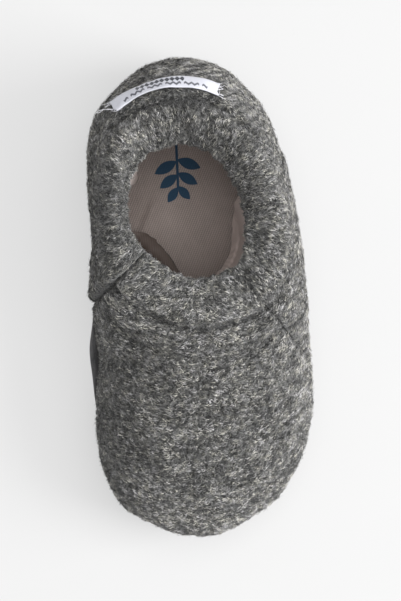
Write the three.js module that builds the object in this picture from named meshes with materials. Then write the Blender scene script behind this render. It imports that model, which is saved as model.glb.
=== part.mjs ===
// A small child's slipper for the left foot: boiled wool upper on a thin suede sole.
// Millimetres, +Z up, the sole stands on z = 0, the toe points to -Y and the outer side of the foot to +X.

import * as THREE from "three";

// Sizes of the whole shoe, measured over the wool
const shoeLength = 140;
const ballWidth = 64;
const bulgeHeight = 13; // where the wool stands out furthest
const heelHeight = 46.5; // crest of the collar behind the heel
const ankleHeight = 42.5; // crest of the collar beside the ankle
const instepHeight = 41; // vamp at the foot opening
const ballHeight = 36; // vamp over the ball of the foot
const toeHeight = 27; // vamp over the toes
const toeTipDrop = 2; // how far the crest falls from there to the tip

// Foot opening, an oval that the hem draws in
const openingLength = 38;
const openingWidth = 33.5;
const openingFromHeel = 26.7; // from the heel's outline to the opening
const openingInward = 4.3; // from the shoe's middle towards the inner side of the foot
const heelDip = 5.5; // how far the gathered hem slopes down to the opening at the heel
const throatDip = 1.5; // and at the throat

// Wool
const woolWall = 2.8;
const hemWidth = 13; // turned hem round the opening
const hemRaise = 0.8; // hem's height over the wool beside it
const hemLining = 1.2; // hem's extra thickness inside
const lipRound = 1.4; // roundness of the opening's edge
const toeRoll = 30; // how far in from the outline the vamp reaches its height
const quarterRoll = 0.62; // the same for the quarter, as a share of the way to the opening
const innerSeamTurn = 132; // degrees round the opening from the heel to the seam on the inner side
const outerSeamTurn = 141; // and on the outer side
const innerLap = 1.5; // step where the quarter laps over the vamp on the inner side
const outerLap = 0.7; // and on the outer side
const lapFade = 26; // degrees over which a lap lies down again
const footShare = 1.25; // wool's foot on the sole, in thicknesses of its wall
const sideTurn = 55; // degrees of the side's round, from the bulge to the foot
const rollPower = 2.2; // fullness of the round between the side and the crest

// Sole and insole
const soleThickness = 1.8;
const insoleThickness = 3;
const footInset = 3; // wool's foot and the sole's edge, in from the outline
const soleShow = 5.8; // how far the sole's inner edge comes out again behind the ball of the foot
const toeSpring = 2.4;
const toeSpringLength = 18;
const heelLift = 1;
const heelLiftLength = 8;
const archRise = 0.9;
const archStart = -0.13; // the arch's end at the ball, as a share of the length from the middle
const archLength = 0.34; // share of the length
const fitGap = 0.3; // between neighbouring pieces

// Woven tape on the back of the collar
const tapeLength = 29.5;
const tapeHeight = 4.6;
const tapeThickness = 0.6;
const tapeFromOpening = 16;
const tapeTurn = -7; // degrees from the heel, towards the inner side of the foot
const tapeSlack = 0.9; // how far its lower edge stands off

// Outline seen from above, from heel to toe. along is a share of the length, the sides are shares of the width.
const outlineTable = [
  { along: 0.487, inner: 0.191, outer: 0.102 },
  { along: 0.43, inner: 0.361, outer: 0.261 },
  { along: 0.372, inner: 0.45, outer: 0.344 },
  { along: 0.272, inner: 0.48, outer: 0.415 },
  { along: 0.143, inner: 0.473, outer: 0.467 },
  { along: 0, inner: 0.484, outer: 0.492 },
  { along: -0.12, inner: 0.464, outer: 0.5 },
  { along: -0.23, inner: 0.49, outer: 0.497 },
  { along: -0.315, inner: 0.484, outer: 0.466 },
  { along: -0.372, inner: 0.456, outer: 0.419 },
  { along: -0.43, inner: 0.388, outer: 0.325 },
  { along: -0.487, inner: 0.183, outer: 0.125 },
];
const heelTip = { along: 0.5, inner: 0.047 };
const toeTip = { along: -0.5, inner: 0.031 };

// Height of the crest from toe to heel. along is a share of the length.
const crestTable = [
  { along: -0.5, height: toeHeight - toeTipDrop },
  { along: -0.43, height: toeHeight },
  { along: -0.2, height: ballHeight },
  { along: 0.03, height: instepHeight },
  { along: 0.17, height: ankleHeight },
  { along: 0.36, height: heelHeight },
  { along: 0.5, height: heelHeight },
];

// Shape of the opening. turn is in degrees from the heel towards the outer side, reach is a share of the oval's.
const openingTable = [
  { turn: -180, reach: 0.98 },
  { turn: -150, reach: 0.87 },
  { turn: -115, reach: 0.93 },
  { turn: -75, reach: 0.94 },
  { turn: -35, reach: 1.03 },
  { turn: 0, reach: 0.99 },
  { turn: 65, reach: 0.92 },
  { turn: 95, reach: 1 },
  { turn: 137, reach: 1.17 },
  { turn: 160, reach: 1.06 },
  { turn: 180, reach: 0.98 },
];

// How far the sole's inner edge shows, as a share of soleShow.
const showTable = [
  { along: -0.32, share: 0 },
  { along: -0.14, share: 1 },
  { along: -0.09, share: 1 },
  { along: 0.06, share: 0 },
];

// Fineness of the meshes
const outlineSteps = 400;
const vampSteps = 42;
const quarterSteps = 44;
const hemRings = [0, 0.11, 0.25, 0.45, 0.7, 0.91, 1.09]; // shares of the hem's width
const crownRings = 5;
const sideRings = 8;
const sideReach = 13; // length of the dense rings above the bulge
const innerHemRings = [1.09, 0.7, 0.35, 0];
const topSamples = 56;
const sideSamples = 18;
const plateRows = 30;
const plateColumns = 6;
const tapeSteps = 14;
const seamHalf = 0.4; // degrees from a seam to the meridian on each side of it
const plateEnd = 0.35; // how far the plates' first row lies in from their tips, in rows

const { degToRad, lerp, smoothstep } = THREE.MathUtils;

// Value of a column between two rows of a table, on a smooth curve through the rows.
function readTable(rows, key, column, at) {
  const last = rows.length - 1;
  const place = THREE.MathUtils.clamp(at, rows[0][key], rows[last][key]);
  let i = 0;
  while (i < last - 1 && place > rows[i + 1][key]) i++;
  const slope = (k) => {
    const before = rows[Math.max(k - 1, 0)];
    const after = rows[Math.min(k + 1, last)];
    return (after[column] - before[column]) / (after[key] - before[key]);
  };
  const run = rows[i + 1][key] - rows[i][key];
  const t = (place - rows[i][key]) / run;
  const held = rows[i][column] * (1 + 2 * t) * (1 - t) ** 2 + rows[i + 1][column] * t * t * (3 - 2 * t);
  return held + run * (slope(i) * t * (1 - t) ** 2 - slope(i + 1) * t * t * (1 - t));
}

// Outline of the wool, a closed ring of points with their outward normals, centred on the shoe's middle.
function makeOutline() {
  const at = (along, side) => new THREE.Vector3(side * ballWidth, along * shoeLength, 0);
  const knots = [
    at(heelTip.along, -heelTip.inner),
    ...outlineTable.map((row) => at(row.along, row.outer)),
    at(toeTip.along, -toeTip.inner),
    ...outlineTable.map((row) => at(row.along, -row.inner)).reverse(),
  ];
  const curve = new THREE.CatmullRomCurve3(knots, true, "centripetal");
  const points = curve.getSpacedPoints(outlineSteps).slice(0, outlineSteps);
  const box = new THREE.Box3().setFromPoints(points);
  const middle = box.getCenter(new THREE.Vector3());
  points.forEach((p) => p.sub(middle));
  return points.map((p, i) => {
    const before = points[(i + outlineSteps - 1) % outlineSteps];
    const after = points[(i + 1) % outlineSteps];
    const normal = new THREE.Vector2(before.y - after.y, after.x - before.x).normalize();
    return { x: p.x, y: p.y, nx: normal.x, ny: normal.y };
  });
}
const outline = makeOutline();

// Shortest way from a point to the outline.
function outlineDistance(x, y) {
  let least = Infinity;
  outline.forEach((a, i) => {
    const b = outline[(i + 1) % outlineSteps];
    const dx = b.x - a.x;
    const dy = b.y - a.y;
    const t = THREE.MathUtils.clamp(((x - a.x) * dx + (y - a.y) * dy) / (dx * dx + dy * dy), 0, 1);
    least = Math.min(least, (x - a.x - t * dx) ** 2 + (y - a.y - t * dy) ** 2);
  });
  return Math.sqrt(least);
}

// The outline's point and normal in a direction from the opening's middle. turn 0 is the heel, 90 the outer side.
const openingMiddle = { x: -openingInward, y: shoeLength / 2 - openingFromHeel - openingLength / 2 };
function outlineAt(turn) {
  const ux = Math.sin(degToRad(turn));
  const uy = Math.cos(degToRad(turn));
  for (let i = 0; i < outlineSteps; i++) {
    const a = outline[i];
    const b = outline[(i + 1) % outlineSteps];
    const aSide = (a.x - openingMiddle.x) * uy - (a.y - openingMiddle.y) * ux;
    const bSide = (b.x - openingMiddle.x) * uy - (b.y - openingMiddle.y) * ux;
    if (aSide * bSide > 0 || aSide === bSide) continue;
    const t = aSide / (aSide - bSide);
    const x = lerp(a.x, b.x, t) - openingMiddle.x;
    const y = lerp(a.y, b.y, t) - openingMiddle.y;
    const reach = x * ux + y * uy;
    if (reach < 0) continue;
    const normal = new THREE.Vector2(lerp(a.nx, b.nx, t), lerp(a.ny, b.ny, t)).normalize();
    return { x: x + openingMiddle.x, y: y + openingMiddle.y, nx: normal.x, ny: normal.y, reach };
  }
  throw new Error("the opening's middle lies outside the outline");
}

// How far the opening's edge lies from its middle.
function openingReach(turn) {
  const wrapped = THREE.MathUtils.euclideanModulo(turn + 180, 360) - 180;
  const across = Math.sin(degToRad(wrapped)) / (openingWidth / 2);
  const along = Math.cos(degToRad(wrapped)) / (openingLength / 2);
  return readTable(openingTable, "turn", "reach", wrapped) / Math.hypot(across, along);
}

// How far the sole's rest plane lies under the piece at y: toe spring, arch and heel.
function lift(y) {
  const toe = THREE.MathUtils.clamp((-y - shoeLength / 2 + toeSpringLength) / toeSpringLength, 0, 1);
  const heel = THREE.MathUtils.clamp((y - shoeLength / 2 + heelLiftLength) / heelLiftLength, 0, 1);
  const arch = Math.sin(Math.PI * THREE.MathUtils.clamp((y / shoeLength - archStart) / archLength, 0, 1)) ** 2;
  return toeSpring * toe * toe + heelLift * heel * heel + archRise * arch;
}

// Height of the wool's outer face inside the outline.
function crownHeight(x, y, turn, way) {
  const short = quarterRoll * way;
  const width = (toeRoll ** -4 + short ** -4) ** -0.25;
  const t = Math.min(outlineDistance(x, y) / width, 1);
  const roll = Math.sqrt(1 - (1 - t) ** rollPower);
  return bulgeHeight + (readTable(crestTable, "along", "height", y / shoeLength) - bulgeHeight) * roll;
}

// One meridian of the outer face, from the opening's edge over the crest and down to the wool's foot.
const meridians = new Map();
function meridian(turn) {
  const key = turn.toFixed(4);
  if (meridians.has(key)) return meridians.get(key);
  const rim = outlineAt(turn);
  const ux = Math.sin(degToRad(turn));
  const uy = Math.cos(degToRad(turn));
  const start = openingReach(turn) + lipRound;
  const way = rim.reach - start;
  const dip = lerp(throatDip, heelDip, smoothstep(uy, -0.6, 0.8));
  const points = [];
  const add = (x, y, z) => points.push(new THREE.Vector3(x, y, z + lift(y) * (1 - z / instepHeight)));
  for (let k = 0; k < topSamples; k++) {
    const share = 1 - (1 - k / topSamples) ** 2;
    const x = openingMiddle.x + (start + way * share) * ux;
    const y = openingMiddle.y + (start + way * share) * uy;
    const sunk = dip * (1 - smoothstep(way * share, 0, Math.min(hemWidth, way * 0.6))) ** 1.5;
    add(x, y, crownHeight(x, y, turn, way) - sunk);
  }
  const footHeight = soleThickness + fitGap;
  const footAngle = degToRad(sideTurn);
  for (let k = 0; k <= sideSamples; k++) {
    const angle = (footAngle * k) / sideSamples;
    const inset = (footInset * (1 - Math.cos(angle))) / (1 - Math.cos(footAngle));
    const z = bulgeHeight - ((bulgeHeight - footHeight) * Math.sin(angle)) / Math.sin(footAngle);
    const x = rim.x - rim.nx * inset;
    const y = rim.y - rim.ny * inset;
    points.push(new THREE.Vector3(x, y, z + lift(y)));
  }
  const lengths = [0];
  for (let k = 1; k < points.length; k++) lengths.push(lengths[k - 1] + points[k].distanceTo(points[k - 1]));
  const made = { points, lengths, bulge: lengths[topSamples], total: lengths[lengths.length - 1] };
  meridians.set(key, made);
  return made;
}

// Point of the outer face at a distance from the opening's edge, measured over the wool.
function facePoint(turn, fromEdge) {
  const { points, lengths, total } = meridian(turn);
  const at = THREE.MathUtils.clamp(fromEdge, 0, total);
  let k = 1;
  while (k < points.length - 1 && lengths[k] < at) k++;
  return points[k - 1].clone().lerp(points[k], (at - lengths[k - 1]) / (lengths[k] - lengths[k - 1]));
}

function faceNormal(turn, fromEdge) {
  const step = 0.8;
  const total = meridian(turn).total;
  const low = Math.max(fromEdge - step, 0);
  const high = Math.min(fromEdge + step, total);
  const down = facePoint(turn, high).sub(facePoint(turn, low));
  const share = fromEdge / total;
  const side = (angle) => facePoint(angle, share * meridian(angle).total);
  const round = side(turn + step).sub(side(turn - step));
  return round.cross(down).normalize();
}

// Height of the hem and of the laps over the plain face.
const quarterStart = -innerSeamTurn;
const quarterEnd = outerSeamTurn;
function raised(turn, fromEdge) {
  const hemEdge = smoothstep(fromEdge, hemWidth * 0.91, hemWidth * 1.09);
  const beyond = Math.min(turn - quarterStart, quarterEnd - turn);
  const lap = beyond < 0 ? 0 : (1 - smoothstep(beyond, 0, lapFade)) * (turn < 0 ? innerLap : outerLap);
  const flatten = 1 - smoothstep(fromEdge, hemWidth, meridian(turn).total);
  const atEdge = 0.5 + 0.5 * smoothstep(fromEdge, 0, hemWidth * 0.4);
  return hemRaise * (1 - hemEdge) + lap * flatten * atEdge;
}

// Directions of the meridians: evenly spaced along the outline, with a close pair at each seam.
function spacedTurns(from, to, steps) {
  const fine = 240;
  const turns = Array.from({ length: fine + 1 }, (_, i) => lerp(from, to, i / fine));
  const rims = turns.map(outlineAt);
  const lengths = [0];
  for (let i = 1; i <= fine; i++) {
    lengths.push(lengths[i - 1] + Math.hypot(rims[i].x - rims[i - 1].x, rims[i].y - rims[i - 1].y));
  }
  return Array.from({ length: steps + 1 }, (_, j) => {
    const at = (lengths[fine] * j) / steps;
    let i = 1;
    while (i < fine && lengths[i] < at) i++;
    return lerp(turns[i - 1], turns[i], (at - lengths[i - 1]) / (lengths[i] - lengths[i - 1]));
  });
}

// Closed mesh from a grid of rows that closes on itself both ways.
function ringGrid(rows) {
  const across = rows[0].length;
  const index = [];
  rows.forEach((row, i) => {
    const next = (i + 1) % rows.length;
    row.forEach((_, k) => {
      const side = (k + 1) % across;
      index.push(i * across + k, next * across + side, i * across + side);
      index.push(i * across + k, next * across + k, next * across + side);
    });
  });
  return new THREE.BufferGeometry().setFromPoints(rows.flat()).setIndex(index);
}

// Hollow wall of the upper: over the outside from opening to foot, and back up the inside.
function makeUpper() {
  const turns = [
    ...spacedTurns(quarterStart + seamHalf, quarterEnd - seamHalf, quarterSteps),
    ...spacedTurns(quarterEnd + seamHalf, 360 + quarterStart - seamHalf, vampSteps),
  ];
  const rows = turns.map((turn) => {
    const { bulge, total } = meridian(turn);
    const hemOuter = hemWidth * hemRings[hemRings.length - 1];
    const crownEnd = Math.max(bulge - sideReach, lerp(hemOuter, total, 0.2));
    const crown = (k, rings) => lerp(hemOuter, crownEnd, k / rings);
    const side = (k, rings) => lerp(crownEnd, total, k / rings);
    const signed = turn > 180 ? turn - 360 : turn;
    const outside = [
      ...hemRings.map((share) => share * hemWidth),
      ...Array.from({ length: crownRings }, (_, k) => crown(k + 1, crownRings)),
      ...Array.from({ length: sideRings }, (_, k) => side(k + 1, sideRings)),
    ].map((s) => facePoint(turn, s).addScaledVector(faceNormal(turn, s), raised(signed, s)));
    const innerCrown = crownRings - 1;
    const innerSide = sideRings - 2;
    const inside = [
      ...Array.from({ length: innerSide }, (_, k) => side(innerSide - k, innerSide)),
      ...Array.from({ length: innerCrown }, (_, k) => crown(innerCrown - k, innerCrown)),
      ...innerHemRings.map((share) => share * hemWidth),
    ].map((s) => {
      const thick = woolWall + hemLining * (1 - smoothstep(s, hemWidth * 0.7, hemWidth * 1.3));
      return facePoint(turn, s).addScaledVector(faceNormal(turn, s), -thick);
    });
    const foot = outside[outside.length - 1];
    const rim = outlineAt(turn);
    const footWidth = woolWall * footShare;
    const innerFoot = new THREE.Vector3(foot.x - rim.nx * footWidth, foot.y - rim.ny * footWidth, foot.z);
    const edge = outside[0].clone().lerp(inside[inside.length - 1], 0.5);
    const lip = edge.addScaledVector(facePoint(turn, 0).sub(facePoint(turn, 1)).normalize(), lipRound);
    return [...outside, innerFoot, ...inside, lip];
  });
  return ringGrid(rows);
}

// Where an inset copy of the outline lies at y, as its inner and outer side. inset(x, y) may change along the way.
function insetRing(inset) {
  return outline.map((p) => ({ x: p.x - p.nx * inset(p), y: p.y - p.ny * inset(p) }));
}

function sidesAt(ring, y) {
  const found = [];
  ring.forEach((a, i) => {
    const b = ring[(i + 1) % ring.length];
    if (a.y <= y !== b.y <= y) found.push(lerp(a.x, b.x, (y - a.y) / (b.y - a.y)));
  });
  return { inner: Math.min(...found), outer: Math.max(...found) };
}

// Flat piece with an inset copy of the outline, which follows the lift of the sole.
function makePlate(inset, bottom, thickness) {
  const ring = insetRing(inset);
  const ys = ring.map((p) => p.y);
  const toe = Math.min(...ys);
  const heel = Math.max(...ys);
  const row = (z) => {
    const layer = [];
    for (let k = 0; k <= plateRows; k++) {
      const share = 0.5 - 0.5 * Math.cos((Math.PI * (k + plateEnd)) / (plateRows + 2 * plateEnd));
      const y = lerp(toe, heel, share);
      const { inner, outer } = sidesAt(ring, y);
      layer.push(
        Array.from({ length: plateColumns + 1 }, (_, c) => {
          return new THREE.Vector3(lerp(inner, outer, c / plateColumns), y, z + lift(y));
        }),
      );
    }
    return layer;
  };
  const low = row(bottom);
  const high = row(bottom + thickness);
  const points = [...low.flat(), ...high.flat()];
  const across = plateColumns + 1;
  const top = low.length * across;
  const index = [];
  const quad = (a, b, c, d) => index.push(a, b, c, a, c, d);
  for (let k = 0; k < plateRows; k++) {
    for (let c = 0; c < plateColumns; c++) {
      const a = k * across + c;
      quad(a, a + across, a + across + 1, a + 1);
      quad(top + a, top + a + 1, top + a + across + 1, top + a + across);
    }
    const a = k * across;
    const b = a + plateColumns;
    quad(a, top + a, top + a + across, a + across);
    quad(b, b + across, top + b + across, top + b);
  }
  for (let c = 0; c < plateColumns; c++) {
    const b = plateRows * across + c;
    quad(c, c + 1, top + c + 1, top + c);
    quad(b, top + b, top + b + 1, b + 1);
  }
  return new THREE.BufferGeometry().setFromPoints(points).setIndex(index);
}

// Sole's edge: under the wool's foot, and out past it behind the ball on the inner side.
function soleInset(p) {
  const show = readTable(showTable, "along", "share", p.y / shoeLength);
  return p.nx < 0 ? footInset - soleShow * show : footInset;
}

function insoleInset() {
  return footInset + woolWall * footShare + fitGap;
}

// Tape that follows the quarter's face just clear of it, its lower edge standing off a little.
function makeTape() {
  const middle = facePoint(tapeTurn, tapeFromOpening);
  const radius = Math.hypot(middle.x - openingMiddle.x, middle.y - openingMiddle.y);
  const halfTurn = THREE.MathUtils.radToDeg(tapeLength / radius) / 2;
  const rows = [];
  for (let i = 0; i <= tapeSteps; i++) {
    const along = (2 * i) / tapeSteps - 1;
    const turn = tapeTurn + along * halfTurn;
    const at = (share, over) => {
      const s = tapeFromOpening + share * tapeHeight;
      const off = raised(turn, s) + fitGap + tapeSlack * (1 - share) * (1 - along * along) + over;
      return facePoint(turn, s).addScaledVector(faceNormal(turn, s), off);
    };
    const shares = [0, 0.5, 1];
    rows.push([...shares.map((v) => at(v, tapeThickness)), ...shares.map((v) => at(1 - v, 0))]);
  }
  const across = rows[0].length;
  const index = [];
  for (let i = 0; i < tapeSteps; i++) {
    for (let k = 0; k < across; k++) {
      const a = i * across + k;
      const b = i * across + ((k + 1) % across);
      index.push(a, b + across, b, a, a + across, b + across);
    }
  }
  const last = tapeSteps * across;
  [
    [0, 5, 4],
    [0, 4, 1],
    [1, 4, 3],
    [1, 3, 2],
  ].forEach(([a, b, c]) => index.push(a, c, b, last + a, last + b, last + c));
  return new THREE.BufferGeometry().setFromPoints(rows.flat()).setIndex(index);
}

const wool = new THREE.MeshStandardMaterial({ color: 0x6c6b69, roughness: 0.95, metalness: 0 });
const suede = new THREE.MeshStandardMaterial({ color: 0x3f3e40, roughness: 0.85, metalness: 0 });
const twill = new THREE.MeshStandardMaterial({ color: 0x857b75, roughness: 0.9, metalness: 0 });
const satin = new THREE.MeshStandardMaterial({ color: 0xdfdfe6, roughness: 0.5, metalness: 0 });

function piece(name, geometry, material) {
  geometry.computeVertexNormals();
  const mesh = new THREE.Mesh(geometry, material);
  mesh.name = name;
  return mesh;
}

const slipper = new THREE.Group();
slipper.add(
  piece("outsole", makePlate(soleInset, 0, soleThickness), suede),
  piece("insole", makePlate(insoleInset, soleThickness + fitGap, insoleThickness), twill),
  piece("upper", makeUpper(), wool),
  piece("heel_label", makeTape(), satin),
);

export default slipper;
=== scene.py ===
# A small child's left slipper in boiled wool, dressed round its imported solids.
# Metres, +Z up, the toe points to -Y and the outer side of the foot to +X.
import math

import bmesh
import bpy
import numpy as np
from mathutils import Matrix, Vector


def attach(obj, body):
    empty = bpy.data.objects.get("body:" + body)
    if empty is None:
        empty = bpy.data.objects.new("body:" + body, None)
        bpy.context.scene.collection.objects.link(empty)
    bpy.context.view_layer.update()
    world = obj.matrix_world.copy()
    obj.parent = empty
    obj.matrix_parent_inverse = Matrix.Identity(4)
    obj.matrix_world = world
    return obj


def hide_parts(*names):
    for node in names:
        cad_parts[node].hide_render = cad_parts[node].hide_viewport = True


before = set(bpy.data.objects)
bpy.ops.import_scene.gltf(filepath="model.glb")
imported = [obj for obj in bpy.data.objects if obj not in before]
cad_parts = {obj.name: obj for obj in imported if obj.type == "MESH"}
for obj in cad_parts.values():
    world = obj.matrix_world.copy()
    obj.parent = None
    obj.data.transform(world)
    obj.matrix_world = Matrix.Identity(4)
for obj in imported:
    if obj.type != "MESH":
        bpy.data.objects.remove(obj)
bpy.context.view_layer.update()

MM = 0.001

# Sizes of the last and the wool, as the solids have them
SHOE_LENGTH = 140 * MM
BALL_WIDTH = 64 * MM
BULGE_HEIGHT = 13 * MM
HEEL_HEIGHT = 46.5 * MM
ANKLE_HEIGHT = 42.5 * MM
INSTEP_HEIGHT = 41 * MM
BALL_HEIGHT = 36 * MM
TOE_HEIGHT = 27 * MM
OPENING_LENGTH = 38 * MM
OPENING_WIDTH = 33.5 * MM
OPENING_MIDDLE = (-4.3 * MM, 24.3 * MM)
HEEL_DIP = 5.5 * MM
THROAT_DIP = 1.5 * MM
WOOL_WALL = 2.8 * MM
FOOT_WALL = WOOL_WALL * 1.25
HEM_WIDTH = 13 * MM
HEM_RAISE = 0.8 * MM
HEM_LINING = 1.2 * MM
LIP_ROUND = 1.4 * MM
TOE_ROLL = 30 * MM
QUARTER_ROLL = 0.62
INNER_SEAM = -132
OUTER_SEAM = 141
INNER_LAP = 1.5 * MM
OUTER_LAP = 0.7 * MM
LAP_FADE = 26
SOLE_THICKNESS = 1.8 * MM
INSOLE_THICKNESS = 3 * MM
FOOT_INSET = 3 * MM
SOLE_SHOW = 5.8 * MM
SOLE_CURL = 1.1 * MM
TOE_SPRING = 2.4 * MM
TOE_SPRING_LENGTH = 18 * MM
HEEL_LIFT = 1 * MM
HEEL_LIFT_LENGTH = 8 * MM
ARCH_RISE = 0.9 * MM
ARCH_START = -0.13  # shares of the shoe's length from its middle
ARCH_LENGTH = 0.34
FIT_GAP = 0.3 * MM
TAPE_LENGTH = 29.5 * MM
TAPE_HEIGHT = 4.6 * MM
TAPE_FROM_OPENING = 16 * MM
TAPE_TURN = -7
TAPE_SLACK = 0.9 * MM

# Outline from above, heel to toe: along is a share of the length, the sides are shares of the width.
OUTLINE = [
    dict(along=0.487, inner=0.191, outer=0.102),
    dict(along=0.43, inner=0.361, outer=0.261),
    dict(along=0.372, inner=0.45, outer=0.344),
    dict(along=0.272, inner=0.48, outer=0.415),
    dict(along=0.143, inner=0.473, outer=0.467),
    dict(along=0, inner=0.484, outer=0.492),
    dict(along=-0.12, inner=0.464, outer=0.5),
    dict(along=-0.23, inner=0.49, outer=0.497),
    dict(along=-0.315, inner=0.484, outer=0.466),
    dict(along=-0.372, inner=0.456, outer=0.419),
    dict(along=-0.43, inner=0.388, outer=0.325),
    dict(along=-0.487, inner=0.183, outer=0.125),
]
HEEL_TIP = dict(along=0.5, inner=0.047)
TOE_TIP = dict(along=-0.5, inner=0.031)
CREST = [
    dict(along=-0.5, height=TOE_HEIGHT - 2 * MM),
    dict(along=-0.43, height=TOE_HEIGHT),
    dict(along=-0.2, height=BALL_HEIGHT),
    dict(along=0.03, height=INSTEP_HEIGHT),
    dict(along=0.17, height=ANKLE_HEIGHT),
    dict(along=0.36, height=HEEL_HEIGHT),
    dict(along=0.5, height=HEEL_HEIGHT),
]
OPENING = [
    dict(turn=-180, reach=0.98),
    dict(turn=-150, reach=0.87),
    dict(turn=-115, reach=0.93),
    dict(turn=-75, reach=0.94),
    dict(turn=-35, reach=1.03),
    dict(turn=0, reach=0.99),
    dict(turn=65, reach=0.92),
    dict(turn=95, reach=1),
    dict(turn=137, reach=1.17),
    dict(turn=160, reach=1.06),
    dict(turn=180, reach=0.98),
]

# How far the sole's inner edge shows, as a share of SOLE_SHOW.
SHOW = [
    dict(along=-0.32, share=0),
    dict(along=-0.14, share=1),
    dict(along=-0.09, share=1),
    dict(along=0.06, share=0),
]

# Soft creases of the vamp and quarter in plan, from one end to the other over a middle point, in millimetres
# of the shoe: depth is positive for a trough and negative for a ridge, width is the trough's half width.
CREASES = [
    dict(start=(-13, -15.5), middle=(-2, -17.5), end=(9, -15), depth=0.55, width=2.2),
    dict(start=(-24, -14), middle=(-18, -25), end=(-16, -38), depth=0.35, width=3.5),
    dict(start=(14, -14), middle=(20, -24), end=(22, -36), depth=0.3, width=4),
    dict(start=(11, 9), middle=(17, 2), end=(19, -7), depth=0.45, width=1.6),
    dict(start=(13, -18), middle=(20, -11), end=(31, -7), depth=0.7, width=1.4),
    dict(start=(-31, -16), middle=(-26, -19), end=(-17, -18), depth=0.5, width=2.2),
    dict(start=(-29, -46), middle=(-24, -48), end=(-17, -45), depth=0.45, width=2.4),
    dict(start=(-8, -50), middle=(3, -47), end=(14, -50), depth=0.25, width=3.5),
    dict(start=(14, 30.5), middle=(18, 29), end=(23, 30), depth=0.5, width=1.3),
    dict(start=(13, 20), middle=(18, 17), end=(23, 15.5), depth=0.45, width=1.4),
    dict(start=(-24, 34), middle=(-21, 31), end=(-19, 27), depth=0.4, width=1.3),
    dict(start=(-14, 52), middle=(-11, 48), end=(-10, 44.5), depth=0.4, width=1.1),
    dict(start=(8, 50), middle=(6, 47), end=(4.5, 44.5), depth=0.4, width=1.1),
]


def smoothstep(x, low, high):
    t = np.clip((x - low) / (high - low), 0, 1)
    return t * t * (3 - 2 * t)


def mix(a, b, t):
    return a + (b - a) * t


def unit(vectors):
    return vectors / np.linalg.norm(vectors, axis=-1, keepdims=True)


def hump(away, width):
    """Soft bump, 1 at no distance, that falls off over a width in millimetres."""
    return np.exp(-((away / (width * MM)) ** 2))


def lengths_along(points):
    """Distance of each point of a polyline from its start."""
    return np.r_[0, np.cumsum(np.linalg.norm(np.diff(points, axis=0), axis=1))]


def on_line(at, lengths, line):
    """Points of a polyline, or what goes with them, at distances along it."""
    return np.stack([np.interp(at, lengths, column) for column in line.T], 1)


def read_table(rows, key, column, at):
    """Values of a column between the rows of a table, on a smooth curve through them."""
    keys = np.array([row[key] for row in rows], float)
    values = np.array([row[column] for row in rows], float)
    flip = keys[0] > keys[-1]
    if flip:
        keys, values = keys[::-1], values[::-1]
    at = np.clip(at, keys[0], keys[-1])
    i = np.clip(np.searchsorted(keys, at) - 1, 0, len(keys) - 2)
    before = np.maximum(np.arange(len(keys)) - 1, 0)
    after = np.minimum(np.arange(len(keys)) + 1, len(keys) - 1)
    slope = (values[after] - values[before]) / (keys[after] - keys[before])
    run = keys[i + 1] - keys[i]
    t = (at - keys[i]) / run
    held = values[i] * (1 + 2 * t) * (1 - t) ** 2 + values[i + 1] * t * t * (3 - 2 * t)
    return held + run * (slope[i] * t * (1 - t) ** 2 - slope[i + 1] * t * t * (1 - t))


def make_noise(seed):
    """Smooth noise from -1 to 1 in space, with the given length of a lump."""
    size = 48
    lattice = np.random.default_rng(seed).uniform(-1, 1, (size, size, size))

    def noise(points, lump):
        p = np.asarray(points) / lump + 1000.0
        base = np.floor(p).astype(int)
        t = p - base
        t = t * t * (3 - 2 * t)
        total = 0
        for corner in np.ndindex(2, 2, 2):
            weight = np.prod(np.where(corner, t, 1 - t), axis=-1)
            cell = (base + corner) % size
            total = total + weight * lattice[cell[..., 0], cell[..., 1], cell[..., 2]]
        return total

    return noise


felt_noise = make_noise(3)


def lumps(size, *parts):
    """The felt's noise at a place of three parts, with lumps of a size in millimetres."""
    return felt_noise(np.stack(np.broadcast_arrays(*parts), -1), size * MM)


# The last

OUTLINE_STEPS = 400


def spaced_round(points, count):
    """Points evenly spaced round a closed polyline."""
    line = np.vstack([points, points[:1]])
    lengths = lengths_along(line)
    return on_line(np.linspace(0, lengths[-1], count + 1)[:-1], lengths, line)


def make_outline():
    """The wool's outline as points and outward normals, centred on the shoe's middle."""
    knots = [(-HEEL_TIP["inner"], HEEL_TIP["along"])]
    knots += [(row["outer"], row["along"]) for row in OUTLINE]
    knots += [(-TOE_TIP["inner"], TOE_TIP["along"])]
    knots += [(-row["inner"], row["along"]) for row in OUTLINE][::-1]
    knots = np.array(knots) * (BALL_WIDTH, SHOE_LENGTH)
    n = len(knots)
    line = []
    for i in range(n):
        p0, p1, p2, p3 = (knots[(i + k) % n] for k in (-1, 0, 1, 2))
        d0, d1, d2 = (np.linalg.norm(b - a) ** 0.5 for a, b in ((p0, p1), (p1, p2), (p2, p3)))
        m1 = ((p1 - p0) / d0 - (p2 - p0) / (d0 + d1) + (p2 - p1) / d1) * d1
        m2 = ((p2 - p1) / d1 - (p3 - p1) / (d1 + d2) + (p3 - p2) / d2) * d1
        t = np.linspace(0, 1, 60, endpoint=False)[:, None]
        held = p1 * (1 + 2 * t) * (1 - t) ** 2 + p2 * t * t * (3 - 2 * t)
        line.append(held + m1 * t * (1 - t) ** 2 - m2 * t * t * (1 - t))
    ring = spaced_round(np.vstack(line), OUTLINE_STEPS)
    ring -= (ring.min(0) + ring.max(0)) / 2
    along = np.roll(ring, -1, 0) - np.roll(ring, 1, 0)
    return ring, unit(np.stack([-along[:, 1], along[:, 0]], 1))


ring, ring_normals = make_outline()


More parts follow.
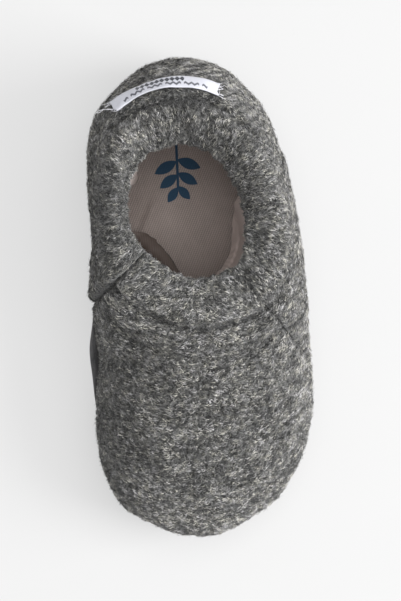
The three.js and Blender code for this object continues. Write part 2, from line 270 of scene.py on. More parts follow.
def outline_distance(xy):
    flat = xy.reshape(-1, 2)
    least = np.full(len(flat), np.inf)
    for a, w in zip(ring, np.roll(ring, -1, 0) - ring):
        t = np.clip(((flat - a) @ w) / (w @ w), 0, 1)
        least = np.minimum(least, ((flat - a - t[:, None] * w) ** 2).sum(1))
    return np.sqrt(least).reshape(xy.shape[:-1])


def directions(turns):
    turns = np.radians(turns)
    return np.stack([np.sin(turns), np.cos(turns)], -1)


def outline_at(turns):
    """Outline points, normals and reaches by turn round the opening: 0 is the heel, 90 the outer side."""
    u = directions(turns)
    rel = ring - OPENING_MIDDLE
    side = rel[None, :, 0] * u[:, None, 1] - rel[None, :, 1] * u[:, None, 0]
    nxt = np.roll(side, -1, 1)
    ahead = rel[None, :, 0] * u[:, None, 0] + rel[None, :, 1] * u[:, None, 1] > 0
    hit = (side * nxt <= 0) & (side != nxt) & ahead
    i = hit.argmax(1)
    row = np.arange(len(turns))
    t = (side[row, i] / (side[row, i] - nxt[row, i]))[:, None]
    j = (i + 1) % OUTLINE_STEPS
    points = mix(ring[i], ring[j], t)
    normals = unit(mix(ring_normals[i], ring_normals[j], t))
    return points, normals, ((points - OPENING_MIDDLE) * u).sum(1)


def opening_reach(turns):
    wrapped = (np.asarray(turns, float) + 180) % 360 - 180
    u = directions(wrapped)
    oval = np.hypot(u[..., 0] / (OPENING_WIDTH / 2), u[..., 1] / (OPENING_LENGTH / 2))
    return read_table(OPENING, "turn", "reach", wrapped) / oval


def lift(y):
    """How far the sole stands off its rest plane: toe spring, heel and arch."""
    toe = np.clip((-y - SHOE_LENGTH / 2 + TOE_SPRING_LENGTH) / TOE_SPRING_LENGTH, 0, 1)
    heel = np.clip((y - SHOE_LENGTH / 2 + HEEL_LIFT_LENGTH) / HEEL_LIFT_LENGTH, 0, 1)
    arch = np.sin(np.pi * np.clip((y / SHOE_LENGTH - ARCH_START) / ARCH_LENGTH, 0, 1)) ** 2
    return TOE_SPRING * toe**2 + HEEL_LIFT * heel**2 + ARCH_RISE * arch


TOP_SAMPLES = 90
SIDE_SAMPLES = 30
FOOT_ANGLE = math.radians(55)  # how far the wool's side turns in under its widest line


def meridian_lines(turns):
    """The wool's plain outer face along meridians: points, and their distance from the opening's edge."""
    rims, normals, reaches = outline_at(turns)
    u = directions(turns)
    start = opening_reach(turns) + LIP_ROUND
    way = (reaches - start)[:, None]
    share = 1 - (1 - np.arange(TOP_SAMPLES) / TOP_SAMPLES) ** 2
    xy = OPENING_MIDDLE + (start[:, None] + way * share)[..., None] * u[:, None]
    width = (TOE_ROLL**-4 + (QUARTER_ROLL * way) ** -4.0) ** -0.25
    roll = np.sqrt(1 - (1 - np.minimum(outline_distance(xy) / width, 1)) ** 2.2)
    crest = read_table(CREST, "along", "height", xy[..., 1] / SHOE_LENGTH)
    dip = mix(THROAT_DIP, HEEL_DIP, smoothstep(u[:, 1:], -0.6, 0.8))
    reach = np.minimum(HEM_WIDTH, way * 0.6)
    sunk = dip * (1 - smoothstep(way * share / reach, 0, 1)) ** 1.5
    z = BULGE_HEIGHT + (crest - BULGE_HEIGHT) * roll - sunk
    z = z + lift(xy[..., 1]) * (1 - z / INSTEP_HEIGHT)
    top = np.concatenate([xy, z[..., None]], -1)
    angle = FOOT_ANGLE * np.linspace(0, 1, SIDE_SAMPLES + 1)
    inset = FOOT_INSET * (1 - np.cos(angle)) / (1 - math.cos(FOOT_ANGLE))
    foot = SOLE_THICKNESS + FIT_GAP
    height = BULGE_HEIGHT - (BULGE_HEIGHT - foot) * np.sin(angle) / math.sin(FOOT_ANGLE)
    side_xy = rims[:, None] - normals[:, None] * inset[:, None]
    side_z = height + lift(side_xy[..., 1])
    line = np.concatenate([top, np.concatenate([side_xy, side_z[..., None]], -1)], 1)
    steps = np.linalg.norm(np.diff(line, axis=1), axis=2)
    lengths = np.concatenate([np.zeros((len(line), 1)), np.cumsum(steps, 1)], 1)
    return line, lengths


def face_grid(turns, places):
    """Points and normals of the plain outer face. places(total) gives distances from the opening's edge."""
    line, lengths = meridian_lines(turns)
    at = np.array([places(total) for total in lengths[:, -1]])
    points = np.array([on_line(*row) for row in zip(at, lengths, line)])
    normals = unit(np.cross(np.gradient(points, axis=0), np.gradient(points, axis=1)))
    return points, normals, at


def spaced_turns(start, end, count):
    """Directions evenly spaced along the outline between two turns."""
    fine = np.linspace(start, end, 400)
    lengths = lengths_along(outline_at(fine)[0])
    return np.interp(np.linspace(0, lengths[-1], count), lengths, fine)


# Meshes

DOUBLES_APART = 0.002 * MM


def add_object(name, data):
    made = bpy.data.objects.new(name, data)
    bpy.context.scene.collection.objects.link(made)
    return made


def add_piece(name, mesh, material, slot, *nodes):
    """A finished piece on the slipper's one body, standing for its solids."""
    piece = add_object(name, mesh)
    mesh.materials.clear()
    mesh.materials.append(material)
    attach(piece, "root")
    if nodes:
        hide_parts(*nodes)
    return piece


def mesh_from(name, points, faces, smooth=True):
    mesh = bpy.data.meshes.new(name)
    mesh.from_pydata(np.asarray(points).reshape(-1, 3).tolist(), [], faces)
    mesh.polygons.foreach_set("use_smooth", [smooth] * len(mesh.polygons))
    mesh.update()
    return mesh


def grid_faces(rows, columns, first=0, round_rows=False, round_columns=False):
    """Quads over a grid of vertices, which may close on itself either way, and the vertices' numbers."""
    index = first + np.arange(rows * columns).reshape(rows, columns)
    net = np.vstack([index, index[:1]]) if round_rows else index
    net = np.hstack([net, net[:, :1]]) if round_columns else net
    quads = np.stack([net[:-1, :-1], net[1:, :-1], net[1:, 1:], net[:-1, 1:]], -1)
    return quads.reshape(-1, 4).tolist(), index


def turn_outwards(mesh, merge=False):
    """Turns the faces of a closed mesh outwards, once its double points are merged where asked."""
    work = bmesh.new()
    work.from_mesh(mesh)
    if merge:
        bmesh.ops.remove_doubles(work, verts=work.verts, dist=DOUBLES_APART)
    bmesh.ops.recalc_face_normals(work, faces=work.faces)
    work.to_mesh(mesh)
    work.free()


def closed_mesh(name, points, faces, **values):
    """Mesh with its doubles merged and its faces turned outwards. values are kept as its attributes."""
    mesh = mesh_from(name, points, faces)
    for key, value in values.items():
        add_values(mesh, key, value)
    turn_outwards(mesh, merge=True)
    return mesh


def add_vectors(mesh, name, values):
    layer = mesh.attributes.new(name, "FLOAT_VECTOR", "POINT")
    layer.data.foreach_set("vector", np.asarray(values, float).reshape(-1))


def add_values(mesh, name, values):
    layer = mesh.attributes.new(name, "FLOAT", "POINT")
    layer.data.foreach_set("value", np.asarray(values, float).reshape(-1))


def corner_vertices(mesh):
    corners = np.empty(len(mesh.loops), int)
    mesh.loops.foreach_get("vertex_index", corners)
    return corners


def vertex_places(mesh):
    places = np.empty(len(mesh.vertices) * 3)
    mesh.vertices.foreach_get("co", places)
    return places.reshape(-1, 3)


def add_uv(mesh, name, uv):
    """UV map from one pair for each corner."""
    layer = mesh.uv_layers.new(name=name)
    layer.data.foreach_set("uv", uv.reshape(-1))


# Shaders

class Value:
    """A shader socket. Operators on it add Math nodes."""

    def __init__(self, shader, socket):
        self.shader = shader
        self.socket = socket

    def math(self, operation, *others):
        return self.shader.math(operation, self, *others)

    def __add__(self, other):
        return self.math("ADD", other)

    def __sub__(self, other):
        return self.math("SUBTRACT", other)

    def __rsub__(self, other):
        return self.shader.math("SUBTRACT", other, self)

    def __mul__(self, other):
        return self.math("MULTIPLY", other)

    def __truediv__(self, other):
        return self.math("DIVIDE", other)


class Shader:
    """A material whose nodes are made by expressions."""

    def __init__(self, name):
        self.material = bpy.data.materials.new(name)
        self.material.use_nodes = True
        self.tree = self.material.node_tree
        self.tree.nodes.clear()

    def node(self, kind, settings, sockets, out=0):
        node = self.tree.nodes.new(kind)
        for key, value in settings.items():
            if key == "stops":
                ramp = node.color_ramp.elements
                while len(ramp) < len(value):
                    ramp.new(0.5)
                for element, (place, colour) in zip(ramp, value):
                    element.position = place
                    element.color = (*colour, 1)
            else:
                setattr(node, key, value)
        for key, value in sockets.items():
            if isinstance(value, Value):
                self.tree.links.new(value.socket, node.inputs[key])
            else:
                node.inputs[key].default_value = value
        return Value(self, node.outputs[out])

    def math(self, operation, *values):
        return self.node("ShaderNodeMath", {"operation": operation}, dict(enumerate(values)))

    def smooth(self, value, low, high):
        sockets = {"Value": value, "From Min": low, "From Max": high}
        return self.node("ShaderNodeMapRange", {"interpolation_type": "SMOOTHSTEP"}, sockets)

    def blend(self, factor, first, second):
        sockets = {0: factor, 6: first, 7: second}
        return self.node("ShaderNodeMix", {"data_type": "RGBA"}, sockets, 2)

    def ramp(self, value, stops):
        return self.node("ShaderNodeValToRGB", {"stops": stops}, {0: value})

    def place(self):
        return self.node("ShaderNodeTexCoord", {}, {}, 3)

    def uv(self, name):
        return self.node("ShaderNodeUVMap", {"uv_map": name}, {})

    def split(self, vector):
        source = self.node("ShaderNodeSeparateXYZ", {}, {0: vector})
        return [Value(self, source.socket.node.outputs[k]) for k in range(3)]

    def join(self, x, y, z):
        return self.node("ShaderNodeCombineXYZ", {}, {0: x, 1: y, 2: z})

    def noise(self, vector, scale, detail=2.0, rough=0.5, twist=0.0):
        sockets = {"Vector": vector, "Scale": scale, "Detail": detail, "Roughness": rough}
        return self.node("ShaderNodeTexNoise", {}, dict(sockets, Distortion=twist))

    def attribute(self, name):
        return self.node("ShaderNodeAttribute", {"attribute_name": name}, {}, 2)

    def attribute_vector(self, name):
        return self.node("ShaderNodeAttribute", {"attribute_name": name}, {}, 1)

    def bump(self, height, strength, distance, below=None):
        sockets = {"Height": height, "Strength": strength, "Distance": distance}
        if below is not None:
            sockets["Normal"] = below
        return self.node("ShaderNodeBump", {}, sockets)

    def finish(self, colour, roughness, normal=None, **plain):
        """The surface. plain values go straight on the shader's own sockets."""
        sockets = {"Base Color": colour, "Roughness": roughness}
        if normal is not None:
            sockets["Normal"] = normal
        for key, value in plain.items():
            sockets[key.replace("_", " ").title().replace("Ior", "IOR")] = value
        surface = self.node("ShaderNodeBsdfPrincipled", {}, sockets)
        output = self.tree.nodes.new("ShaderNodeOutputMaterial")
        self.tree.links.new(surface.socket, output.inputs[0])
        return self.material


class Tree:
    """A Geometry Nodes tree with named inputs, run on a mesh to give a plain mesh."""

    def __init__(self, name, inputs):
        self.tree = bpy.data.node_groups.new(name, "GeometryNodeTree")
        self.tree.interface.new_socket("Geometry", in_out="OUTPUT", socket_type="NodeSocketGeometry")
        self.tree.interface.new_socket("Geometry", in_out="INPUT", socket_type="NodeSocketGeometry")
        for key, kind in inputs.items():
            self.tree.interface.new_socket(key, in_out="INPUT", socket_type="NodeSocket" + kind)
        self.start = self.tree.nodes.new("NodeGroupInput")

    def input(self, name):
        return self.start.outputs[name]

    def node(self, kind, settings, sockets, out=0):
        node = self.tree.nodes.new(kind)
        for key, value in settings.items():
            setattr(node, key, value)
        for key, value in sockets.items():
            if isinstance(value, bpy.types.NodeSocket):
                self.tree.links.new(value, node.inputs[key])
            else:
                node.inputs[key].default_value = value
        return node.outputs[out]

    def random(self, kind, low, high, seed):
        first, out = {"FLOAT_VECTOR": (0, 0), "FLOAT": (2, 1)}[kind]
        sockets = {first: low, first + 1: high, 8: seed}
        return self.node("FunctionNodeRandomValue", {"data_type": kind}, sockets, out)

    def attribute(self, name, kind="FLOAT"):
        return self.node("GeometryNodeInputNamedAttribute", {"data_type": kind}, {0: name})

    def laid(self, up, way):
        """Rotation that stands on up with its X axis along way."""
        upright = self.node("FunctionNodeAlignRotationToVector", {"axis": "Z"}, {"Vector": up})
        sockets = {"Rotation": upright, "Vector": way}
        return self.node("FunctionNodeAlignRotationToVector", {"axis": "X", "pivot_axis": "Z"}, sockets)

    def copies(self, key, spots, rotation, size):
        """The object given as an input, on each point."""
        source = {"Object": self.input(key), "As Instance": True}
        thing = self.node("GeometryNodeObjectInfo", {}, source, "Geometry")
        sockets = {"Points": spots, "Instance": thing, "Rotation": rotation, "Scale": size}
        return self.node("GeometryNodeInstanceOnPoints", {}, sockets)

    def end(self, geometry, material):
        real = self.node("GeometryNodeRealizeInstances", {}, {0: geometry})
        done = self.node("GeometryNodeSetMaterial", {}, {0: real, 2: material})
        self.tree.links.new(done, self.tree.nodes.new("NodeGroupOutput").inputs[0])

    def run(self, base, values):
        """Mesh that the tree makes from a base mesh with the given inputs."""
        carrier = add_object("carrier", base)
        modifier = carrier.modifiers.new("maker", "NODES")
        modifier.node_group = self.tree
        for item in self.tree.interface.items_tree:
            if item.in_out == "INPUT" and item.name in values:
                modifier[item.identifier] = values[item.name]
        shown = carrier.evaluated_get(bpy.context.evaluated_depsgraph_get())
        made = bpy.data.meshes.new_from_object(shown)
        bpy.data.objects.remove(carrier)
        return made


# Materials

def wool_ramp(shader, shade):
    """From the darkest to the lightest fibre of the melange."""
    return shader.ramp(shade, [
        (0.0, (0.008, 0.008, 0.008)),
        (0.2, (0.026, 0.026, 0.026)),
        (0.45, (0.128, 0.128, 0.123)),
        (0.7, (0.262, 0.26, 0.248)),
        (0.88, (0.39, 0.386, 0.37)),
        (1.0, (0.58, 0.573, 0.548)),
    ])


def make_wool_cloth():
    shader = Shader("boiled wool")
    place = shader.place()
    knots = shader.noise(place, 1 / (1.1 * MM), 4, 0.65, 0.6)
    clouds = shader.noise(place, 1 / (7 * MM), 2)
    shade = shader.smooth(knots, 0.32, 0.72) * 0.5 + clouds * 0.2 - 0.04
    grain = shader.noise(place, 1 / (0.7 * MM), 4, 0.7, 0.8)
    normal = shader.bump(grain, 0.9, 0.5 * MM)
    return shader.finish(wool_ramp(shader, shade), 0.95, normal, sheen_weight=0.25, sheen_roughness=0.5)


def make_wool_fibre():
    shader = Shader("wool fibre")
    shade = shader.attribute("shade")
    place = shader.place()
    x, y, z = shader.split(place)
    arc, reach, radial = shader.split(shader.attribute_vector("stroke"))
    along, across, _ = shader.split(shader.attribute_vector("lay"))
    strewn = shader.noise(shader.join(along * 0.3, across, 0.0), 1 / (0.8 * MM), 2, 0.5)
    strokes = shader.noise(shader.join(arc, reach, 0.0), 1 / (0.62 * MM), 2, 0.5)
    flecks = shader.smooth(strewn + (strokes - strewn) * radial, 0.34, 0.66)
    clouds = shader.noise(place, 1 / (6 * MM), 3, 0.55)
    rows = shader.noise(shader.join(x * 0.25, y, z * 0.5), 1 / (2.2 * MM), 2, 0.5)
    level = shader.noise(shader.join(along * 0.25, across, 0.0), 1 / (3.2 * MM), 3, 0.6)
    veins = shader.smooth(shader.math("ABSOLUTE", level - 0.5), 0.03, 0.0) * (1 - radial)
    spread = shade * 0.6 + flecks * 0.76 + (clouds - 0.5) * 0.95 + (rows - 0.5) * 0.6 - veins * 0.4 - 0.13
    # The panel's painted shade and light, carried on each fibre.
    spread = spread - shader.attribute("cavity") * 0.25
    tint = shader.smooth(shader.noise(place, 1 / (2.2 * MM), 2, 0.6), 0.35, 0.65)
    dye = shader.blend(tint, (1.03, 1.01, 0.93, 1), (0.985, 0.98, 1.03, 1))
    colour = shader.node("ShaderNodeMix", {"data_type": "RGBA", "blend_type": "MULTIPLY"},
                         {0: 1.0, 6: wool_ramp(shader, spread), 7: dye}, 2)
    return shader.finish(colour, 0.9, sheen_weight=0.28, sheen_roughness=0.4)


def twill_height(shader, x, y):
    """Steep diagonal ribs, broken across by the weft."""
    rib = shader.math("SINE", (x - y * 0.45) * (2 * math.pi / (0.72 * MM)))
    weft = shader.math("SINE", (y + x * 0.2) * (2 * math.pi / (0.6 * MM)))
    return rib * 0.42 + weft * 0.2 + 0.5


def make_twill(name, pale, deep, insole):
    shader = Shader(name)
    place = shader.place()
    x, y, z = shader.split(place)
    height = twill_height(shader, x, y) if insole else twill_height(shader, x, z)
    wear = shader.noise(place, 1 / (9 * MM), 3, 0.6)
    slub = shader.noise(shader.join(x * 3, y * 0.5, z), 1 / (1.2 * MM), 2)
    tone = height * 0.55 + slub * 0.3 + wear * 0.4 - 0.12
    colour = shader.blend(tone, (*deep, 1), (*pale, 1))
    if insole:
        colour = shader.blend(sprig_mask(shader, x, y) * 0.96, colour, (0.004, 0.042, 0.088, 1))
        # Painted shade: the insole is darker towards the throat, under the wool's overhang.
        painted_shading = shader.smooth(y, 24 * MM, 0.0) * 0.22
    else:
        # Painted shade on the lining from its tone attribute, where its folds lie in shade.
        painted_shading = 1 - shader.attribute("tone")
    colour = shader.blend(painted_shading, colour, SHADE_BROWN)
    normal = shader.bump(height, 0.55, 0.12 * MM, shader.bump(slub, 0.3, 0.1 * MM))
    shine = 0.5 if insole else 0.2
    return shader.finish(colour, 0.9, normal, sheen_weight=0.08, specular_ior_level=shine)


# Printed sprig on the insole: each leaf from its stem end, with direction, length and width in millimetres.
SPRIG_PLACE = (-4.5, 44)
SPRIG_STEM = 11.5
LEAVES = [
    dict(along=2.5, turn=68, length=7.6, width=3.4),
    dict(along=3, turn=-62, length=7.8, width=3.4),
    dict(along=6.5, turn=58, length=7, width=3.2),
    dict(along=7, turn=-54, length=6.8, width=3.2),
    dict(along=10.5, turn=40, length=5.4, width=2.8),
    dict(along=10.8, turn=-36, length=5.6, width=2.8),
]


def sprig_mask(shader, x, y):
    """A plain leafy sprig that points to the toe."""
    u = x / MM - SPRIG_PLACE[0]
    v = SPRIG_PLACE[1] - y / MM
    stem = shader.smooth(shader.math("ABSOLUTE", u), 0.5, 0.3)
    mask = stem * shader.smooth(v, -4, -3.7) * shader.smooth(v, SPRIG_STEM + 0.4, SPRIG_STEM)
    for leaf in LEAVES:
        turn = math.radians(leaf["turn"])
        along = u * math.sin(turn) + (v - leaf["along"]) * math.cos(turn)
        across = u * math.cos(turn) - (v - leaf["along"]) * math.sin(turn)
        t = along / leaf["length"]
        half = t * (1 - t) * (2 * leaf["width"]) - shader.math("ABSOLUTE", across)
        mask = shader.math("MAXIMUM", mask, shader.smooth(half, -0.05, 0.15))
    return mask


def make_suede():
    shader = Shader("dark suede")
    place = shader.place()
    x, y, z = shader.split(place)
    nap = shader.noise(place, 1 / (0.35 * MM), 3, 0.7)
    brushed = shader.noise(shader.join(x * 3, y * 0.6, z), 1 / (3 * MM), 3, 0.6, 0.5)
    tone = nap * 0.35 + brushed * 0.65
    colour = shader.blend(shader.smooth(tone, 0.3, 0.7), (0.05, 0.049, 0.051, 1), (0.135, 0.132, 0.135, 1))
    # Painted shadow where the sole lies close under the wool's foot.
    colour = shader.blend(shader.attribute("tucked") * 0.6, colour, (0.012, 0.012, 0.012, 1))
    normal = shader.bump(nap, 0.5, 0.15 * MM, shader.bump(brushed, 0.25, 0.5 * MM))
    return shader.finish(colour, 0.82, normal, sheen_weight=0.15)


MARK_PITCH = 2.6 * MM


def make_satin():
    """White woven tape with diamonds over a broken zigzag, in its own UV, metres along and across."""
    shader = Shader("woven satin tape")
    u, v, _ = shader.split(shader.uv("tape"))
    ribs = shader.math("SINE", v * (2 * math.pi / (0.32 * MM))) * 0.5 + 0.5
    warp = shader.math("SINE", u * (2 * math.pi / (0.24 * MM))) * 0.5 + 0.5
    height = ribs * 0.7 + warp * 0.3
    soft = shader.noise(shader.place(), 1 / (2.5 * MM), 2)
    paper = shader.blend(height * 0.5 + soft * 0.4, (0.46, 0.47, 0.54, 1), (0.74, 0.745, 0.79, 1))
    step = shader.math("PINGPONG", u + 1 * MM, MARK_PITCH / 2) / MM - MARK_PITCH / MM / 4
    diamond = shader.math("ABSOLUTE", v / MM - 3.15) * 0.9 + shader.math("ABSOLUTE", step) * 1.3
    hollow = shader.math("ABSOLUTE", diamond - 0.5)
    middle = shader.smooth(shader.math("ABSOLUTE", u + 1 * MM), 6.4 * MM, 6.2 * MM)
    marks = shader.smooth(hollow, 0.5, 0.38) * middle
    slope = shader.math("PINGPONG", u, 0.8 * MM) / MM
    zigzag = shader.math("ABSOLUTE", v / MM - 1.0 - slope * 0.9)
    breaks = shader.smooth(shader.math("PINGPONG", u, 2.4 * MM), 0.3 * MM, 0.5 * MM)
    marks = shader.math("MAXIMUM", marks, shader.smooth(zigzag, 0.46, 0.3) * breaks * 0.85)
    bare = TAPE_LENGTH / 2 - 3.4 * MM
    inside = shader.smooth(shader.math("ABSOLUTE", u), bare + 0.2 * MM, bare)
    colour = shader.blend(marks * inside, paper, (0.012, 0.016, 0.03, 1))
    return shader.finish(colour, 0.5, shader.bump(height, 0.4, 0.06 * MM), sheen_weight=0.1)


def make_thread(name, colour):
    shader = Shader(name)
    twist = shader.noise(shader.place(), 1 / (0.25 * MM), 2)
    pale = tuple(min(1, c * 1.7) for c in colour)
    tone = shader.blend(twist, (*colour, 1), (*pale, 1))
    return shader.finish(tone, 0.7, shader.bump(twist, 0.3, 0.05 * MM))


# Wool panels

VAMP_ROWS = 250
QUARTER_ROWS = 230
TUCK = 8  # degrees of the vamp under the quarter
# The two seams beside the throat: how deep the vamp lies at the quarter's edge, where it starts and stops
# rising beyond that edge, the edge's rounding and the height of its roll, all in millimetres, and how strong
# the painted shade in the slit along the seam is.
INNER_FORM = dict(depth=1.9, start=0.15, stop=1.5, rounding=1.1, roll=0.5, dark=1)
OUTER_FORM = dict(depth=0.85, start=-1.4, stop=0.5, rounding=0.6, roll=0, dark=0.45)
ARC_RADIUS = 22 * MM  # turns round the opening become lengths at this radius
# How the vamp's fibres lie: degrees from straight across the shoe at a place across it, in millimetres
LIE = [
    dict(x=-30, lie=-42),
    dict(x=-18, lie=-24),
    dict(x=-6, lie=0),
    dict(x=8, lie=14),
    dict(x=22, lie=42),
]
# Patches of painted light and shade on the wool, place and reach in plan in millimetres: dark above 0 paints
# shade, on its inner side, at the heel by the tape and over the toe, and below 0 paints light on the hem, toe
# and outer side
PAINTED_TONES = [
    dict(place=(-2, -66), reach=(24, 5), dark=-0.6),
    dict(place=(-2, -2), reach=(12, 3), dark=-0.3),
    dict(place=(-2, -12), reach=(12, 2.5), dark=-0.65),
    dict(place=(31, -18), reach=(4, 24), dark=-0.45),
    dict(place=(-5, 54.5), reach=(13, 2.5), dark=0.85),
    dict(place=(-26, 25), reach=(4, 13), dark=1.35),
    dict(place=(-27, -32), reach=(6, 16), dark=0.8),
    dict(place=(-4, 48), reach=(12, 4), dark=0.75),
    dict(place=(-1, -53), reach=(14, 4), dark=0.3),
]
# The wool's relief in millimetres. Pairs are for the vamp and the quarter.
GATHERS = (0.4, 0.8)
PUCKERS = (0.4, 0.5)
FELTED_ROWS = (0.34, 0.2)
HEM_PUFF = 0.8
HEM_TROUGH = dict(width=1.7, depth=1.45, less_at_side=0.55, more_at_heel=0.75, gathers=0.8)
HEM_CREASE = 1.03  # place of the hem's trough as a share of the hem's width
# Soft bands across the vamp beyond the hem's crease, in millimetres
VAMP_BANDS = [
    dict(past=9.5, width=2.2, height=-0.8),
    dict(past=4.6, width=2.4, height=0.7),
]
HEM_SAMPLES = 24
HEM_REACH = 1.2  # what the hem's samples cover, as a share of its width
LIP_SAMPLES = 7
EDGE_TURNS = np.array([0, 0.25, 0.6, 1.1, 1.8, 2.6])


def from_seams(turns):
    """Turns from -180 to 180, and how many degrees each lies inside the quarter's two seams."""
    signed = np.where(turns > 180, turns - 360, turns)
    return signed, np.minimum(signed - INNER_SEAM, OUTER_SEAM - signed)


def wall_at(at):
    """The wool's thickness, with the hem's turned edge inside it."""
    return WOOL_WALL + HEM_LINING * (1 - smoothstep(at, HEM_WIDTH * 0.7, HEM_WIDTH * 1.3))


def hem_and_lap(turns, at, total):
    """Height of the turned hem and of the quarter's laps over the plain face, as in the solids."""
    signed, beyond = from_seams(turns)
    hem_edge = smoothstep(at, HEM_WIDTH * 0.91, HEM_WIDTH * 1.09)
    lap = np.where(signed < 0, INNER_LAP, OUTER_LAP) * (1 - smoothstep(beyond, 0, LAP_FADE))
    lap = np.where(beyond < 0, 0, lap)
    flatten = 1 - smoothstep(at / total, HEM_WIDTH / total, 1)
    at_edge = 0.5 + 0.5 * smoothstep(at, 0, HEM_WIDTH * 0.4)
    return HEM_RAISE * (1 - hem_edge) + lap * flatten * at_edge


def crease_height(xy):
    """Soft troughs and ridges of the table, drawn as curves in plan."""
    height = np.zeros(xy.shape[:-1])
    t = np.linspace(0, 1, 25)[:, None]
    for crease in CREASES:
        a, b, c = (np.array(crease[key]) * MM for key in ("start", "middle", "end"))
        line = (1 - t) ** 2 * a + 2 * t * (1 - t) * b + t * t * c
        width = crease["width"] * MM
        near = ((xy > line.min(0) - 3 * width) & (xy < line.max(0) + 3 * width)).all(-1)
        away = np.linalg.norm(xy[near][:, None] - line, axis=-1)
        nearest = away.argmin(1)
        ends = np.sin(np.pi * (nearest + 0.5) / len(line)) ** 0.5
        height[near] -= crease["depth"] * MM * ends * hump(away.min(1), crease["width"])
    return height


def wool_relief(points, turns, at, total):
    """Gathers, the hem's crease, lumps and felted rows of the wool, and the shade painted at each place."""
    signed, beyond = from_seams(turns)
    arc = np.radians(signed) * ARC_RADIUS
    on_quarter = smoothstep(beyond, -12, 6)
    gather = lumps(1.7, arc, at * 0.16, 0)
    gather = gather * 0.6 + lumps(0.85, arc, at * 0.14, 0.4) * 0.55
    pucker = lumps(2.6, arc, at * 0.5, 0.1)
    on_hem = smoothstep(at, 0, 1.5 * MM) * (1 - smoothstep(at, 8.5 * MM, 15 * MM))
    height = on_hem * gather * mix(*GATHERS, on_quarter) * MM
    height += on_hem * pucker * mix(*PUCKERS, on_quarter) * MM
    puff = np.sin(np.pi * np.clip(at / (HEM_WIDTH * HEM_CREASE), 0, 1)) ** 0.7
    height += puff * HEM_PUFF * MM
    crease = HEM_WIDTH * HEM_CREASE + 0.6 * MM * lumps(5, arc, 0, 0.7)
    at_heel = smoothstep(np.cos(np.radians(signed)), 0.65, 0.95)
    depth = HEM_TROUGH["depth"] - HEM_TROUGH["less_at_side"] * on_quarter * (1 - at_heel)
    depth = depth + HEM_TROUGH["more_at_heel"] * at_heel + HEM_TROUGH["gathers"] * gather
    height -= hump(at - crease, HEM_TROUGH["width"]) * depth * MM
    for band in VAMP_BANDS:
        soft = hump(at - crease - band["past"] * MM, band["width"]) * (1 - on_quarter)
        height += soft * band["height"] * MM
    rows = lumps(1.5, arc * 0.35, at, 0.3)
    beyond_hem = smoothstep(at, HEM_WIDTH * 0.7, HEM_WIDTH * 1.1)
    height += beyond_hem * rows * mix(*FELTED_ROWS, on_quarter) * MM
    height += felt_noise(points, 5.5 * MM) * 0.4 * MM + felt_noise(points, 1.7 * MM) * 0.24 * MM
    height += crease_height(points[..., :2])
    # Painted shade: darker in the relief's troughs, on the quarter's inside near the opening and under the
    # tape's lower edge.
    cavity = smoothstep(-height, 0.15 * MM, 1.5 * MM)
    cavity = np.maximum(cavity, 0.5 * on_quarter * (1 - smoothstep(at, 0, 9 * MM)))
    under_tape = hump(at - TAPE_FROM_OPENING + 0.3 * MM, 1.1)
    cavity = np.maximum(cavity, under_tape * smoothstep(np.abs(signed - TAPE_TURN), 30, 24))
    return height + felt_noise(points, 13 * MM) * 0.5 * MM, cavity


def patches(points):
    """How much painted shade, or below 0 painted light, the table puts on the wool."""
    total = 0
    for tone in PAINTED_TONES:
        away = (points[..., :2] / MM - tone["place"]) / tone["reach"]
        total = total + tone["dark"] * np.exp(-(away**2).sum(-1))
    return total


def panel_places(count):
    def places(total):
        hem = np.linspace(0, HEM_WIDTH * HEM_REACH, HEM_SAMPLES)
        rest = np.linspace(HEM_WIDTH * HEM_REACH, total, count - HEM_SAMPLES + 1)[1:]
        return np.concatenate([hem, rest])

    return places


def wool_faces(turns, count, quarter):
    """Outer and inner face of a wool panel as grids, row by row round the opening."""
    points, normals, at = face_grid(turns, panel_places(count))
    total = at[:, -1:]
    column = turns[:, None]
    signed, beyond = from_seams(column)
    radius = np.linalg.norm(points[..., :2] - OPENING_MIDDLE, axis=-1)
    relief, cavity = wool_relief(points, column, at, total)
    over = hem_and_lap(column, at, total) + relief
    under = wall_at(at)
    at_foot = smoothstep(at / total, 0.45, 0.9)
    form = {key: np.where(signed < 0, INNER_FORM[key], OUTER_FORM[key]) * MM for key in INNER_FORM}
    past = np.radians(-beyond) * radius
    if quarter:
        under = mix(form["depth"] - 0.2 * MM, under, smoothstep(beyond + 0 * at, TUCK, TUCK + 6))
        edge = -past
        over = over + form["roll"] * hump(edge - 1.6 * MM, 1.3) * (1 - at_foot)
    else:
        groove = form["depth"] * mix(1, 0.3, at_foot * (past > 0))
        over = over - groove * (1 - smoothstep(past, form["start"], form["stop"]))
        edge = np.radians(TUCK - beyond) * radius
    # Painted shade in the slit along each seam, plus the table's patches of painted light and shade.
    slit = form["dark"] / MM * hump(past, 0.75) * (1 - 0.6 * at_foot)
    cavity = np.maximum(cavity, slit) + patches(points)
    rounding = np.sqrt(np.clip(1 - (1 - np.clip(edge / form["rounding"], 0.01, 1)) ** 2, 0, 1))
    middle = (over - under) / 2
    over = mix(middle, over, rounding)
    under = mix(-middle, under, rounding)
    outer = points + normals * over[..., None]
    inner = points - normals * under[..., None]
    face = dict(outer=outer, inner=inner, normals=normals, at=at, turns=turns, beyond=beyond)
    return dict(face, cavity=cavity, slit=slit)


def lip_points(face):
    """Rounded edge of the opening, from the inner face to the outer."""
    outer, inner = face["outer"][:, 0], face["inner"][:, 0]
    way = unit(face["outer"][:, 0] - face["outer"][:, 2])
    way[:, 2] *= 0.4
    bulge = LIP_ROUND * (1 + 0.35 * lumps(1.35, np.radians(face["turns"]) * ARC_RADIUS, 0, 0))
    angles = np.pi * np.arange(1, LIP_SAMPLES) / LIP_SAMPLES
    half = (outer - inner) / 2
    middle = (outer + inner) / 2
    swing = way * bulge[:, None]
    return np.stack([middle - half * np.cos(a) + swing * np.sin(a) for a in angles], 1)


